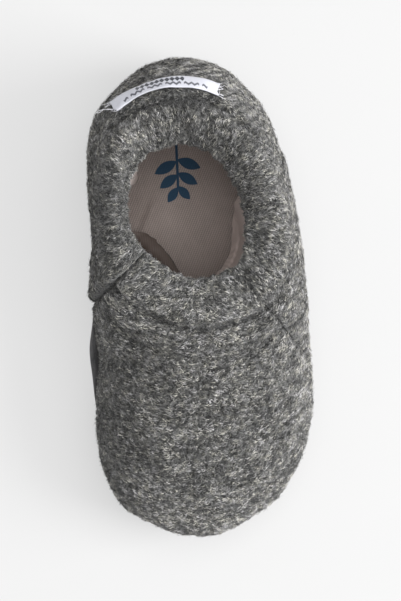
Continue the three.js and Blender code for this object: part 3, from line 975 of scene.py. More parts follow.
def bridge(low, high):
    """Triangles between two lines of vertices that start and end side by side."""
    faces = []
    i = j = 0
    while i < len(low) - 1 or j < len(high) - 1:
        if j == len(high) - 1 or (i < len(low) - 1 and (i + 1) / (len(low) - 1) <= (j + 1) / (len(high) - 1)):
            faces.append((low[i], low[i + 1], high[j]))
            i += 1
        else:
            faces.append((low[i], high[j + 1], high[j]))
            j += 1
    return [tuple(int(v) for v in face) for face in faces]


def panel_mesh(name, face, inner_step=3):
    """Closed wool panel: lip, outer face, foot and a coarser inner face."""
    count = face["outer"].shape[1]
    inner_at = np.r_[np.arange(0, count - 1, inner_step), count - 1]
    rims, rim_normals, _ = outline_at(face["turns"])
    foot = face["outer"][:, -1].copy()
    foot[:, :2] -= rim_normals * FOOT_WALL
    lip = lip_points(face)
    back = face["inner"][:, inner_at[:-1]][:, ::-1]
    loops = np.concatenate([lip[:, 3:], face["outer"], foot[:, None], back, lip[:, :3]], 1)
    faces, index = grid_faces(*loops.shape[:2], round_columns=True)
    turn = lip.shape[1] - 3 + count
    for row in (index[0], index[-1]):
        faces += bridge(row[:turn], row[turn:][::-1])
    return closed_mesh(name, loops, faces)


def fibre_slope(x):
    """Slope in plan of the vamp's fibres at a place across the shoe."""
    return np.tan(np.radians(read_table(LIE, "x", "lie", x / MM)))


def fibre_lay(points):
    """Coordinates along and across the vamp's fibres. The second stays the same along a fibre's line."""
    x, y, z = np.moveaxis(points, -1, 0)
    fine = np.linspace(-BALL_WIDTH, BALL_WIDTH, 400)
    slope = (fibre_slope(fine[1:]) + fibre_slope(fine[:-1])) / 2
    rise = np.r_[0, np.cumsum(slope * np.diff(fine))]
    run = np.r_[0, np.cumsum(np.hypot(1, slope) * np.diff(fine))]
    return np.stack([np.interp(x, fine, run) + z, y - np.interp(x, fine, rise), 0 * z], -1)


def emitter_mesh(name, face, keep):
    """Open copy of a panel's outer face and lip, with the grain of its fibres and where they grow."""
    lip = lip_points(face)
    grid = np.concatenate([lip[:, 1:], face["outer"]], 1)
    extra = lip.shape[1] - 1
    at = np.concatenate([np.zeros((len(grid), extra)), face["at"]], 1)
    round_way = unit(np.gradient(grid, axis=0))
    down_way = unit(np.gradient(grid, axis=1))
    signed, beyond = from_seams(face["turns"][:, None])
    on_quarter = smoothstep(beyond, -14, 0)
    radial = (1 - smoothstep(at, 10 * MM, 17 * MM)) * mix(0.35, 1, on_quarter)
    slope = fibre_slope(grid[..., 0])
    combed = unit(np.cross(np.cross(round_way, down_way), np.stack([-slope, 1 + 0 * slope, 0 * slope], -1)))
    side = (combed * round_way).sum(-1, keepdims=True)
    combed = mix(combed, round_way * np.sign(side), on_quarter[..., None])
    down_way = down_way * np.sign((down_way * combed).sum(-1, keepdims=True))
    grain = mix(combed, down_way, radial[..., None])
    mesh = mesh_from(name, grid, grid_faces(*grid.shape[:2])[0])
    add_vectors(mesh, "grain", grain)
    arc = np.radians(signed) * ARC_RADIUS + 0 * at
    add_vectors(mesh, "stroke", np.stack([arc, at * 0.35, radial], -1))
    add_vectors(mesh, "lay", fibre_lay(grid))
    # Each fibre takes the panel's painted shade and light at its place.
    lip_painted_wool_shading, lip_slit = (np.repeat(face[key][:, :1], extra, 1) for key in ("cavity", "slit"))
    cavity = np.concatenate([lip_painted_wool_shading, face["cavity"]], 1)
    cover = keep(face)[:, None] * (1 - 0.9 * np.concatenate([lip_slit, face["slit"]], 1))
    loose = 1 - 0.45 * smoothstep(np.abs(grid[..., 0]), 2 * MM, 20 * MM)
    add_values(mesh, "cover", cover)
    add_values(mesh, "cavity", cavity)
    add_values(mesh, "order", mix(loose, 0.5, radial))
    return mesh


# Lining, soles and tape

LINING_GAP = 0.25 * MM
LINING_THICKNESS = 0.45 * MM
LINING_ROWS = 220
LINING_PLACES = 48
RIDGE_PAINTED_LIGHT = 0.16  # how much paler the lit ridge of a dark fold is painted
SHADE_BROWN = (0.026, 0.014, 0.008, 1)  # painted shade of the lining and insole, where they lie in shade under the wool

# The lining's slack folds round the opening: how far inside the opening's edge the lowest fold comes and its
# height, how far the lining hangs back above it and at what height, how free it hangs, and its tone: below 1
# the cloth is painted darker with shade, most where it lies under the throat.
FOLDS = [
    dict(turn=-180, forward=0.6, height=6.6, back=3.5, hang=11, free=1, tone=0),
    dict(turn=-168, forward=3.4, height=8, back=4.5, hang=11, free=1, tone=0),
    dict(turn=-149, forward=4.6, height=8.6, back=5, hang=11, free=1, tone=0),
    dict(turn=-126, forward=5.0, height=8.8, back=5, hang=11, free=1, tone=0),
    dict(turn=-112, forward=3.6, height=8.4, back=4, hang=11, free=1, tone=0.02),
    dict(turn=-100, forward=0.4, height=7.6, back=1.5, hang=8, free=0.8, tone=0.2),
    dict(turn=-84, forward=-2, height=7, back=1, hang=12, free=0.4, tone=0.7),
    dict(turn=-66, forward=-1, height=7, back=0.5, hang=14, free=0.8, tone=0.9),
    dict(turn=-46, forward=0.4, height=7.5, back=0.3, hang=16, free=1, tone=1),
    dict(turn=-28, forward=-1, height=7, back=0.5, hang=16, free=0.5, tone=0.8),
    dict(turn=0, forward=-2, height=7, back=0.5, hang=16, free=0, tone=0.7),
    dict(turn=60, forward=-2, height=7, back=0.5, hang=16, free=0.3, tone=0.8),
    dict(turn=80, forward=-1, height=6.6, back=0.6, hang=14, free=1, tone=0.95),
    dict(turn=108, forward=1.4, height=6.4, back=0.8, hang=13, free=1, tone=1),
    dict(turn=133, forward=1.2, height=6.4, back=0.8, hang=12, free=1, tone=1),
    dict(turn=149, forward=0.2, height=6.4, back=0.8, hang=11, free=1, tone=0.8),
    dict(turn=165, forward=-1.5, height=6.6, back=1, hang=9, free=0.8, tone=0.5),
    dict(turn=180, forward=0.6, height=6.6, back=3.5, hang=11, free=1, tone=0),
]
# The same as a line from the opening's edge to the wool's foot: share of the way, then the weights of the
# edge, the hanging part, the fold and the foot, and how much painted light the fold's ridge takes there.
FOLD_LINE = [
    dict(way=0, edge=1, hang=0, fold=0, foot=0, painted_shading=0),
    dict(way=0.35, edge=0, hang=1, fold=0, foot=0, painted_shading=0),
    dict(way=0.5, edge=0, hang=0.5, fold=0.5, foot=0, painted_shading=0.2),
    dict(way=0.58, edge=0, hang=0.23, fold=0.77, foot=0, painted_shading=1),
    dict(way=0.65, edge=0, hang=0, fold=1, foot=0, painted_shading=0.6),
    dict(way=0.74, edge=0, hang=0, fold=0.9, foot=0.1, painted_shading=0),
    dict(way=1, edge=0, hang=0, fold=0, foot=1, painted_shading=0),
]


def lining_places(total):
    return total * np.linspace(0, 1, LINING_PLACES) ** 1.25


def make_lining(material):
    """Thin twill skin inside the wool, tucked under the hem's edge and slack in places."""
    turns = spaced_turns(-180, 180, LINING_ROWS + 1)[:-1]
    points, normals, at = face_grid(np.r_[turns, 180, 180 + (turns[1] - turns[0])], lining_places)
    points, normals, at = points[:-2], normals[:-2], at[:-2]
    normals[0] = normals[1]
    skin = points - normals * (wall_at(at) + LINING_GAP)[..., None]
    toward = np.concatenate([-directions(turns), np.zeros((len(turns), 1))], 1)
    fold = {key: read_table(FOLDS, "turn", key, turns) for key in FOLDS[0]}
    edge_xy = OPENING_MIDDLE - toward[:, :2] * opening_reach(turns)[:, None]

    def hung(inwards, height):
        xy = edge_xy + toward[:, :2] * (inwards * MM)[:, None]
        return np.concatenate([xy, (height * MM)[:, None]], 1)

    way = np.linspace(0, 1, LINING_PLACES)
    stations = dict(edge=skin[:, 0], foot=skin[:, -1])
    stations["hang"] = hung(-fold["back"], fold["hang"])
    stations["fold"] = hung(fold["forward"], fold["height"])
    line = 0
    for key, station in stations.items():
        line = line + read_table(FOLD_LINE, "way", key, way)[None, :, None] * station[:, None]
    skin = mix(skin, line, np.clip(fold["free"], 0, 1)[:, None, None])
    toward = toward[:, None]
    wrinkle = lumps(4, np.radians(turns)[:, None] * 30 * MM, at * 0.4, 0)
    skin = skin + toward * (0.35 * MM * wrinkle * smoothstep(at, 0, 3 * MM))[..., None]
    floor = SOLE_THICKNESS + FIT_GAP + 0.5 * MM + lift(skin[..., 1])
    skin[..., 2] = np.maximum(skin[..., 2], floor)
    inner = skin + toward * LINING_THICKNESS
    loops = np.concatenate([skin, inner[:, ::-1]], 1)
    faces, _ = grid_faces(*loops.shape[:2], round_rows=True, round_columns=True)
    # Painted light on the ridge of the dark folds, over their painted shade.
    ridge = read_table(FOLD_LINE, "way", "painted_shading", way) * RIDGE_PAINTED_LIGHT
    tone = np.clip(fold["tone"][:, None] + ridge * (fold["tone"] < 0.6)[:, None], 0, 1)
    tone = np.concatenate([tone, tone[:, ::-1]], 1)
    mesh = closed_mesh("lining", loops, faces, tone=tone)
    add_piece("lining", mesh, material, "twill")


# Middle line of the plates, in millimetres, and how far its ends stay from toe and heel
SPINE = dict(y=(-50, 0, 50), x=(-1.5, 0.3, -3))
SPINE_ENDS = (27 * MM, 24 * MM)


def spine_of(edge):
    """Middle line points that the plate's section lines start from."""
    y = np.clip(edge[:, 1], -SHOE_LENGTH / 2 + SPINE_ENDS[0], SHOE_LENGTH / 2 - SPINE_ENDS[1])
    x = np.interp(y, np.multiply(SPINE["y"], MM), np.multiply(SPINE["x"], MM))
    return np.stack([x, y], 1)


def beyond_wool(xy):
    """How far points in plan stand out past the wool's inner side."""
    inner = ring[ring_normals[:, 0] < 0]
    inner = inner[inner[:, 1].argsort()]
    return np.interp(xy[..., 1], inner[:, 1], inner[:, 0]) - xy[..., 0]


PLATE_LOOPS = 16
PLATE_ANGLES = np.radians([0, 22, 45, 67, 90])  # of the rounded edge


def plate_mesh(name, inset, bottom, thickness, rounding, height=None):
    """Closed plate inside the outline with a rounded edge. height(xy) is added to its top."""
    edge = ring - ring_normals * inset[:, None]
    spine = spine_of(edge)
    shares = 1 - (1 - np.linspace(0, 1, PLATE_LOOPS)) ** 1.2
    inner_edge = edge - ring_normals * rounding
    loops = [(mix(spine, inner_edge, share), thickness) for share in shares[:-1]]
    for angle in [*PLATE_ANGLES[::-1], *-PLATE_ANGLES[1:]]:
        xy = inner_edge + ring_normals * (rounding * math.cos(angle))
        loops.append((xy, thickness / 2 * (1 + math.sin(angle))))
    loops += [(mix(spine, inner_edge, share), 0) for share in [*shares[-2::-3], 0]]
    grid = []
    for xy, z in loops:
        lifted = bottom + z + lift(xy[:, 1])
        if height:
            lifted = lifted + height(xy) * (z / thickness)
        grid.append(np.concatenate([xy, lifted[:, None]], 1))
    grid = np.stack(grid, 1)
    return closed_mesh(name, grid, grid_faces(*grid.shape[:2], round_rows=True)[0])


def make_outsole(material):
    along = ring[:, 1] / SHOE_LENGTH
    show = read_table(SHOW, "along", "share", along)
    inset = np.where(ring_normals[:, 0] < 0, FOOT_INSET - SOLE_SHOW * show, FOOT_INSET)
    inset = inset + 0.25 * MM * lumps(6, *ring.T, 0) * show + 0.1 * MM

    def height(xy):
        near = smoothstep(-xy[:, 0], 27 * MM, 34 * MM)
        return near * read_table(SHOW, "along", "share", xy[:, 1] / SHOE_LENGTH) * SOLE_CURL

    mesh = plate_mesh("outsole_suede", inset, 0, SOLE_THICKNESS, SOLE_THICKNESS / 2, height)
    beyond = beyond_wool(vertex_places(mesh))
    # Where the suede is painted with the wool's shadow: under and close to the wool's foot.
    add_values(mesh, "tucked", 1 - smoothstep(beyond, 0.7 * MM, 1.5 * MM))
    add_piece("outsole_suede", mesh, material, "suede", "outsole")


SIM_FRAMES = 20
SIM_CAP = 0.8 * MM
VOXEL = 0.8 * MM
CLOTH = dict(
    use_pressure=True,
    uniform_pressure_force=3,
    mass=0.15,
    tension_stiffness=30,
    compression_stiffness=30,
    bending_stiffness=0.5,
)
PAD_ROUNDING = 0.9 * MM
PAD_GAP = 0.9 * MM  # to the wool's foot
PAD_PUFF = 1.2 * MM  # how much thinner the pad is before it's puffed
# Soft wrinkles of the insole's cover, millimetres in plan
PAD_WRINKLES = [
    dict(start=(-16.5, 17), end=(-10.5, 31), height=0.8, width=1.2),
    dict(start=(-18.5, 19), end=(-12.5, 33), height=-0.5, width=1.0),
    dict(start=(2, 12), end=(7, 22), height=0.35, width=2),
]


def inflate(piece):
    """Puffs a closed piece by a cloth simulation. No point moves further than SIM_CAP."""
    mesh = piece.data
    before = vertex_places(mesh)
    cloth = piece.modifiers.new("Cloth", "CLOTH")
    for key, value in CLOTH.items():
        setattr(cloth.settings, key, value)
    cloth.settings.effector_weights.gravity = 0
    cloth.point_cache.frame_end = SIM_FRAMES
    scene = bpy.context.scene
    for frame_number in range(1, SIM_FRAMES + 1):
        scene.frame_set(frame_number)
    shown = piece.evaluated_get(bpy.context.evaluated_depsgraph_get())
    move = vertex_places(shown.data) - before
    piece.modifiers.clear()
    scene.frame_set(1)
    far = np.linalg.norm(move, axis=1, keepdims=True)
    move *= np.minimum(1, SIM_CAP / np.maximum(far, 1e-9))
    mesh.vertices.foreach_set("co", (before + move).reshape(-1))
    mesh.update()


def make_insole(material):
    """Padded twill insole, puffed by a simulation, with a soft wrinkle at the inner side."""
    inset = np.full(len(ring), FOOT_INSET + FOOT_WALL + FIT_GAP + PAD_GAP)
    bottom = SOLE_THICKNESS + FIT_GAP + 0.35 * MM
    mesh = plate_mesh("insole_pad", inset, bottom, INSOLE_THICKNESS - PAD_PUFF, PAD_ROUNDING)
    piece = add_object("insole_pad", mesh)
    remesh = piece.modifiers.new("Remesh", "REMESH")
    remesh.mode = "VOXEL"
    remesh.voxel_size = VOXEL
    remesh.use_smooth_shade = True
    shown = piece.evaluated_get(bpy.context.evaluated_depsgraph_get())
    fine = bpy.data.meshes.new_from_object(shown)
    bpy.data.objects.remove(piece)
    fine.name = "insole_pad"
    piece = add_piece("insole_pad", fine, material, "twill", "insole")
    inflate(piece)
    points = vertex_places(fine)
    top = smoothstep(points[:, 2] - lift(points[:, 1]), 3 * MM, 4.2 * MM)
    wave = felt_noise(points * (1, 0.6, 0), 9 * MM) * 0.35 * MM
    points[:, 2] += top * wave
    for row in PAD_WRINKLES:
        a, b = (np.array(row[key]) * MM for key in ("start", "end"))
        t = np.clip(((points[:, :2] - a) @ (b - a)) / ((b - a) @ (b - a)), 0, 1)
        away = np.linalg.norm(points[:, :2] - a - t[:, None] * (b - a), axis=1)
        points[:, 2] += top * row["height"] * MM * np.sin(np.pi * t) * hump(away, row["width"])
    fine.vertices.foreach_set("co", points.reshape(-1))
    fine.polygons.foreach_set("use_smooth", [True] * len(fine.polygons))
    fine.update()


TAPE_COLUMNS = 90
TAPE_SHARES = 9
TAPE_THICKNESS = 0.35 * MM
TAPE_TWIST = 1.4 * MM  # how far the outer edge stands off at the tape's inner end


def tape_grid():
    """Front face of the tape and its normals, clear of the wool below it."""
    line, lengths = meridian_lines(np.array([float(TAPE_TURN)]))
    middle = [np.interp(TAPE_FROM_OPENING, lengths[0], line[0][:, k]) for k in range(2)]
    radius = math.hypot(middle[0] - OPENING_MIDDLE[0], middle[1] - OPENING_MIDDLE[1])
    half_turn = math.degrees(TAPE_LENGTH / radius) / 2
    along = np.linspace(-1, 1, TAPE_COLUMNS)
    turns = TAPE_TURN + along * half_turn
    shares = np.linspace(0, 1, TAPE_SHARES)
    points, normals, at = face_grid(turns, lambda total: TAPE_FROM_OPENING + shares * TAPE_HEIGHT)
    column = turns[:, None]
    soft, _ = wool_relief(points, column, at, lengths[0, -1])
    along = along[:, None]
    ripple = lumps(4, along * 15 * MM, at, 0)
    off = hem_and_lap(column, at, lengths[0, -1]) + np.maximum(soft, soft.mean()) * 0.6 + FIT_GAP + 0.25 * MM
    off = off + TAPE_SLACK * (1 - shares) * (1 - along**2) + 0.25 * MM * ripple * (1 - shares * 0.5)
    off = off + TAPE_TWIST * smoothstep(-along, 0.3, 1) * shares
    end = smoothstep(np.abs(along), 0.93, 1)
    off = off + 0.7 * MM * end * np.abs(shares - 0.45) ** 1.5
    points = points + normals * off[..., None]
    way = unit(np.gradient(points, axis=0))
    torn = lumps(0.9, np.sign(along), at, 0) * np.sign(along)
    points = points + way * (end**3 * torn * 0.45 * MM)[..., None]
    return points, normals, way, along * TAPE_LENGTH / 2, shares * TAPE_HEIGHT


FRAYS = 11  # loose threads at each end of the tape
FRAY_POINTS = 6
LOOP_POINTS = 14
THREAD_RADIUS = 0.07 * MM
THREAD_SIDES = 5
Z_TURN = np.array([(0, 1, 0), (-1, 0, 0), (0, 0, 1)])  # a quarter turn about Z for rows of vectors


def cords_mesh(name, paths, radius, sides):
    """Closed round cords along the paths, in one mesh."""
    points, faces = [], []
    for path in paths:
        way = unit(np.gradient(path, axis=0))
        side = unit(np.cross(way, (0.3, 0.2, 1)))
        up = np.cross(side, way)
        angles = 2 * np.pi * np.arange(sides) / sides
        swept = side[:, None] * np.cos(angles)[:, None] + up[:, None] * np.sin(angles)[:, None]
        quads, index = grid_faces(len(path), sides, len(points), round_columns=True)
        points.extend((path[:, None] + swept * radius).reshape(-1, 3))
        faces += quads + [index[0].tolist(), index[-1][::-1].tolist()]
    mesh = mesh_from(name, points, faces)
    turn_outwards(mesh)
    return mesh


def make_label(material, thread):
    """The tape with its frayed ends and one thread that hangs loose in a loop."""
    front, normals, way, u, v = tape_grid()
    face = front + normals * TAPE_THICKNESS
    loops = np.concatenate([face, front[:, ::-1]], 1)
    faces, index = grid_faces(*loops.shape[:2], round_columns=True)
    for row in index[[0, -1]].tolist():
        faces += [[row[k], row[k + 1], row[-2 - k], row[-1 - k]] for k in range(TAPE_SHARES - 1)]
    mesh = mesh_from("heel_label_tape", loops, faces)
    uv = np.stack(np.broadcast_arrays(u, np.concatenate([v, v[::-1]])), -1)
    add_uv(mesh, "tape", uv.reshape(-1, 2)[corner_vertices(mesh)])
    turn_outwards(mesh)
    add_piece("heel_label_tape", mesh, material, "tape", "heel_label")
    random = np.random.default_rng(9)
    paths = []
    for end, outwards in ((0, -1), (-1, 1)):
        for k in range(FRAYS):
            start = face[end, int(random.integers(TAPE_SHARES))] - normals[end, 0] * 0.15 * MM
            out = way[end, 0] * outwards * random.uniform(0.6, 1.8)
            drift = random.normal(0, 0.5, 3) + normals[end, 0] * random.uniform(-0.1, 0.35)
            t = np.linspace(0, 1, FRAY_POINTS)[:, None]
            paths.append(start + (out * t + drift * t**2) * MM)
    t = np.linspace(0, 1, LOOP_POINTS)[:, None]
    out, up, across = -way[0, 0], normals[0, 0], way[0, 0] @ Z_TURN
    loop = out * 4.2 * np.sin(t * 2.6) + up * 0.5 * np.sin(t * 3)
    loop = loop + across * (2.6 * t + 0.9 * np.sin(t * 5))
    paths.append(face[0, 2] + loop * MM)
    mesh = cords_mesh("label_threads", paths, THREAD_RADIUS, THREAD_SIDES)
    add_piece("label_threads", mesh, thread, "tape")


# What repeats: fibres and stitches

def rod_mesh(name, stations, sides):
    """Small closed rod along X. A station is a place, side shift, height and radius. The ends are points."""
    verts = [tuple(stations[0][:3])]
    for x, y, z, r in stations[1:-1]:
        for k in range(sides):
            angle = 2 * math.pi * (k + 0.25) / sides
            verts.append((x, y + r * math.cos(angle), z + r * math.sin(angle)))
    verts.append(tuple(stations[-1][:3]))
    rings = len(stations) - 2
    faces = []
    for k in range(sides):
        n = (k + 1) % sides
        faces.append((0, 1 + n, 1 + k))
        for j in range(rings - 1):
            a, b = 1 + j * sides, 1 + (j + 1) * sides
            faces += [(a + k, a + n, b + n), (a + k, b + n, b + k)]
        last = 1 + (rings - 1) * sides
        faces.append((last + k, last + n, len(verts) - 1))
    mesh = mesh_from(name, verts, faces)
    turn_outwards(mesh)
    return bpy.data.objects.new(name, mesh)


FIBRE_SIDES = 3
FIBRE_VERTS = FIBRE_SIDES + 2
# Bent fibres, all as shares of their length: the bend's shift to the side, its radius and rise, and how far
# the ends dip into the wool. Lengths are in millimetres.
FIBRES = [
    dict(name="wool_fibres_a", bend=0.14, thick=0.064, rise=0.06, dive=0.13, length=1.8, seed=11),
    dict(name="wool_fibres_b", bend=-0.16, thick=0.062, rise=0.05, dive=0.13, length=1.7, seed=23),
    dict(name="wool_fibres_c", bend=-0.1, thick=0.078, rise=0.06, dive=0.13, length=1.4, seed=37),
    dict(name="wool_fibres_d", bend=0.22, thick=0.045, rise=0.07, dive=0.1, length=2.0, seed=51),
]
HAIRS = dict(name="wool_hairs", bend=0.24, thick=0.026, rise=0.16, dive=0.12, length=2.2, seed=67)
FIBRES_EACH = 25000
HAIR_COUNT = 26000


def fibre_tree(material):
    """Scatters one strand over a surface, laid along its grain, each with a random shade."""
    inputs = dict(Strand="Object", Density="Float", Length="Float", Spread="Float", Tilt="Float", Seed="Int")
    t = Tree("wool fibres", inputs)
    sockets = {0: t.attribute("cover"), 1: t.input("Density")}
    density = t.node("ShaderNodeMath", {"operation": "MULTIPLY"}, sockets)
    spots = t.node("GeometryNodeDistributePointsOnFaces", {"distribute_method": "RANDOM"},
                   {"Mesh": t.input("Geometry"), "Density": density, "Seed": t.input("Seed")})
    laid = t.laid(spots.node.outputs["Normal"], t.attribute("grain", "FLOAT_VECTOR"))
    spread = t.node("ShaderNodeCombineXYZ", {}, {0: 0.5, 1: t.input("Tilt"), 2: t.input("Spread")})
    back = t.node("ShaderNodeVectorMath", {"operation": "SCALE"}, {0: spread, 3: -1.0})
    orderly = t.node("ShaderNodeCombineXYZ", {}, {0: 1.0, 1: 1.0, 2: t.attribute("order")})
    swing = t.node("ShaderNodeVectorMath", {"operation": "MULTIPLY"},
                   {0: t.random("FLOAT_VECTOR", back, spread, 5), 1: orderly})
    turn = t.node("FunctionNodeEulerToRotation", {}, {0: swing})
    rotation = t.node("FunctionNodeRotateRotation", {"rotation_space": "LOCAL"}, {0: laid, 1: turn})
    sockets = {0: t.random("FLOAT", 0.5, 1.4, 6), 1: t.input("Length")}
    size = t.node("ShaderNodeMath", {"operation": "MULTIPLY"}, sockets)
    placed = t.copies("Strand", spots, rotation, size)
    shaded = t.node("GeometryNodeStoreNamedAttribute", {"data_type": "FLOAT", "domain": "INSTANCE"},
                    {"Geometry": placed, "Name": "shade", "Value": t.random("FLOAT", 0.0, 1.0, 7)})
    t.end(shaded, material)
    return t


def add_fibre_map(mesh):
    """A cell of the map for each fibre."""
    fibre, own = np.divmod(corner_vertices(mesh), FIBRE_VERTS)
    cells = math.ceil(math.sqrt(len(mesh.vertices) // FIBRE_VERTS))
    steps = np.clip((own + FIBRE_SIDES - 1) // FIBRE_SIDES, 0, 2)
    at_tip = (own == 0) | (own == FIBRE_VERTS - 1)
    sides = np.where(at_tip, 0.5, ((own - 1) % FIBRE_SIDES) / (FIBRE_SIDES - 1))
    cell = np.stack([fibre % cells, fibre // cells], 1)
    margin = 0.12
    add_uv(mesh, "OFBake", (cell + margin + (1 - 2 * margin) * np.stack([steps / 2, sides], 1)) / cells)


def surface_area(mesh):
    area = np.empty(len(mesh.polygons))
    mesh.polygons.foreach_get("area", area)
    return area.sum()


def make_fibres(emitters, material):
    """Fibres and hairs over the whole outside of the wool."""
    joined = bmesh.new()
    for mesh in emitters:
        joined.from_mesh(mesh)
    skin = bpy.data.meshes.new("wool skin")
    joined.to_mesh(skin)
    joined.free()
    area = surface_area(skin)
    tree = fibre_tree(material)
    for kind in [*FIBRES, HAIRS]:
        stations = [
            (-0.5, 0, -kind["dive"], 0),
            (0, kind["bend"], kind["rise"], kind["thick"]),
            (0.5, 0, -kind["dive"], 0),
        ]
        hair = kind is HAIRS
        strand = rod_mesh("strand", stations, FIBRE_SIDES)
        values = {
            "Strand": strand,
            "Density": (HAIR_COUNT if hair else FIBRES_EACH) / area,
            "Length": kind["length"] * MM,
            "Spread": math.radians(90 if hair else 55),
            "Tilt": math.radians(68 if hair else 14),
            "Seed": kind["seed"],
        }
        mesh = tree.run(skin, values)
        mesh.name = kind["name"]
        bpy.data.objects.remove(strand)
        add_fibre_map(mesh)
        add_piece(kind["name"], mesh, material, "wool")


def stitch_tree(material):
    """Puts a stitch on each point, laid along its way and standing on its up."""
    t = Tree("stitches", dict(Stitch="Object", Length="Float"))
    spots = t.node("GeometryNodeMeshToPoints", {}, {0: t.input("Geometry")})
    laid = t.laid(t.attribute("up", "FLOAT_VECTOR"), t.attribute("way", "FLOAT_VECTOR"))
    t.end(t.copies("Stitch", spots, laid, t.input("Length")), material)
    return t


# Half a stitch as shares of its length: place, side shift, height and radius
STITCH_THICKNESS = 0.1
STITCH_END = [(-0.5, 0, -0.2, 0), (-0.36, 0, 0, STITCH_THICKNESS)]
STITCH_MIDDLE = (0, 0, 0.06, STITCH_THICKNESS)
STITCH_SIDES = 5


def stitch_points(path, ups, pitch):
    """Points along a path at the pitch, with their ways and ups."""
    lengths = lengths_along(path)
    at = np.arange(pitch / 2, lengths[-1], pitch)
    way = on_line(at + pitch / 4, lengths, path) - on_line(at - pitch / 4, lengths, path)
    return on_line(at, lengths, path), way, on_line(at, lengths, ups)


def make_stitches(name, rows, length, material, slot):
    spots, ways, ups = (np.concatenate(part) for part in zip(*rows))
    mesh = mesh_from(name, spots, [])
    add_vectors(mesh, "way", ways)
    add_vectors(mesh, "up", ups)
    stations = [*STITCH_END, STITCH_MIDDLE, *((-x, y, z, r) for x, y, z, r in reversed(STITCH_END))]
    stitch = rod_mesh("stitch", stations, STITCH_SIDES)
    made = stitch_tree(material).run(mesh, {"Stitch": stitch, "Length": length})
    made.name = name
    bpy.data.objects.remove(stitch)
    add_piece(name, made, material, slot)


# Stage and camera

CAMERA_PLACE = (-32.5 * MM, -0.3 * MM, 700 * MM)
CAMERA_AIM = (0, -1 * MM, 20 * MM)
CAMERA_TOP = (0.0436, 0.999, 0)
FRAME_HEIGHT = 176 * MM  # what the frame's height takes in at the shoe


def make_camera():
    data = bpy.data.cameras.new("camera")
    camera = add_object("camera", data)
    place = Vector(CAMERA_PLACE)
    back = place - Vector(CAMERA_AIM)
    distance = back.length
    back.normalize()
    right = Vector(CAMERA_TOP).cross(back).normalized()
    top = back.cross(right)
    camera.matrix_world = Matrix.Translation(place) @ Matrix((right, top, back)).transposed().to_4x4()
    data.sensor_fit = "VERTICAL"
    data.sensor_height = 24
    data.lens = data.sensor_height / 2 / (FRAME_HEIGHT / 2 / distance)
    data.clip_start = 0.01
    bpy.context.scene.camera = camera


FLOOR_REACH = 3
SKY = 0.45
LIGHTS = [
    dict(name="overhead", place=(0.25, 0.1, 1.4), size=1.5, power=16.5),
    dict(name="side", place=(1.2, -0.15, 0.7), size=0.8, power=27),
]


def make_stage():
    """A pale floor, lit from below so that it looks white, with the lamps and an even sky."""
    corners = [(x * FLOOR_REACH, y * FLOOR_REACH, 0) for x, y in ((-1, -1), (1, -1), (1, 1), (-1, 1))]
    floor = add_object("floor", mesh_from("floor", corners, [(0, 1, 2, 3)]))
    shader = Shader("pale floor")
    grain = shader.noise(shader.place(), 40, 2)
    paper = shader.ramp(grain, [(0, (0.21, 0.21, 0.21)), (1, (0.216, 0.216, 0.216))])
    glow = dict(emission_color=(1, 1, 1, 1), emission_strength=0.54)
    floor.data.materials.append(shader.finish(paper, 0.8, **glow))
    for row in LIGHTS:
        data = bpy.data.lights.new(row["name"], "AREA")
        data.size = row["size"]
        data.energy = row["power"]
        lamp = add_object(row["name"], data)
        lamp.location = row["place"]
        lamp.rotation_euler = Vector(row["place"]).to_track_quat("Z", "Y").to_euler()
    world = bpy.data.worlds.new("studio")
    world.use_nodes = True
    sky = world.node_tree.nodes["Background"]
    sky.inputs["Color"].default_value = (1, 1, 1, 1)
    sky.inputs["Strength"].default_value = SKY
    bpy.context.scene.world = world
    bpy.context.scene.view_settings.view_transform = "Standard"


# The slipper

QUARTER_COUNT = 76  # places from the opening to the foot
VAMP_COUNT = 124


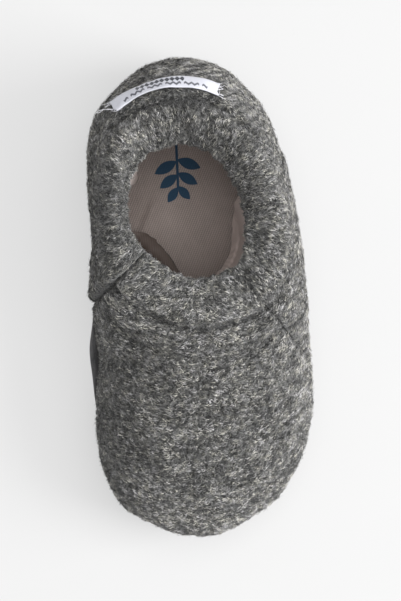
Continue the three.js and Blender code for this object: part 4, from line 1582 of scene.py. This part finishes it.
def panel_turns(start, end, rows):
    """Turns of a panel's rows, closer together at its two edges."""
    return np.concatenate([
        start + EDGE_TURNS[:-1],
        spaced_turns(start + EDGE_TURNS[-1], end - EDGE_TURNS[-1], rows),
        end - EDGE_TURNS[:-1][::-1],
    ])


def make_wool():
    """The two panels with their fibres."""
    cloth = make_wool_cloth()
    fibre = make_wool_fibre()
    quarter_turns = panel_turns(INNER_SEAM, OUTER_SEAM, QUARTER_ROWS)
    vamp_turns = panel_turns(OUTER_SEAM - TUCK, 360 + INNER_SEAM + TUCK, VAMP_ROWS)
    quarter = wool_faces(quarter_turns, QUARTER_COUNT, True)
    vamp = wool_faces(vamp_turns, VAMP_COUNT, False)
    add_piece("quarter_wool", panel_mesh("quarter_wool", quarter), cloth, "wool", "upper")
    add_piece("vamp_wool", panel_mesh("vamp_wool", vamp), cloth, "wool", "upper")
    emitters = [
        emitter_mesh("quarter skin", quarter, lambda face: np.ones(len(face["turns"]))),
        emitter_mesh("vamp skin", vamp, lambda face: face["beyond"][:, 0] < 0),
    ]
    make_fibres(emitters, fibre)
    return quarter, vamp


def stitch_row(name, panels, column, pitch, length, material):
    """Stitches along a column of each panel. A panel comes with the rows that stay free at its edges."""
    rows = []
    for face, free in panels:
        keep = slice(free, -free)
        rows.append(stitch_points(face["outer"][keep, column], face["normals"][keep, column], pitch * MM))
    make_stitches(name, rows, length * MM, material, "wool")


make_camera()
make_stage()
quarter, vamp = make_wool()
make_lining(make_twill("twill lining", (0.72, 0.62, 0.58), (0.5, 0.42, 0.39), False))
make_insole(make_twill("twill insole", (0.4, 0.34, 0.312), (0.16, 0.134, 0.122), True))
make_outsole(make_suede())
make_label(make_satin(), make_thread("white thread", (0.5, 0.5, 0.53)))
dark_thread = make_thread("dark grey thread", (0.03, 0.03, 0.031))
hem_column = round(HEM_CREASE / HEM_REACH * (HEM_SAMPLES - 1))
foot_column = -4
stitch_row("hem_stitches", [(quarter, 4), (vamp, 30)], hem_column, 2.9, 1.9, dark_thread)
stitch_row("foot_stitches", [(quarter, 4), (vamp, 12)], foot_column, 3.2, 2.1, dark_thread)
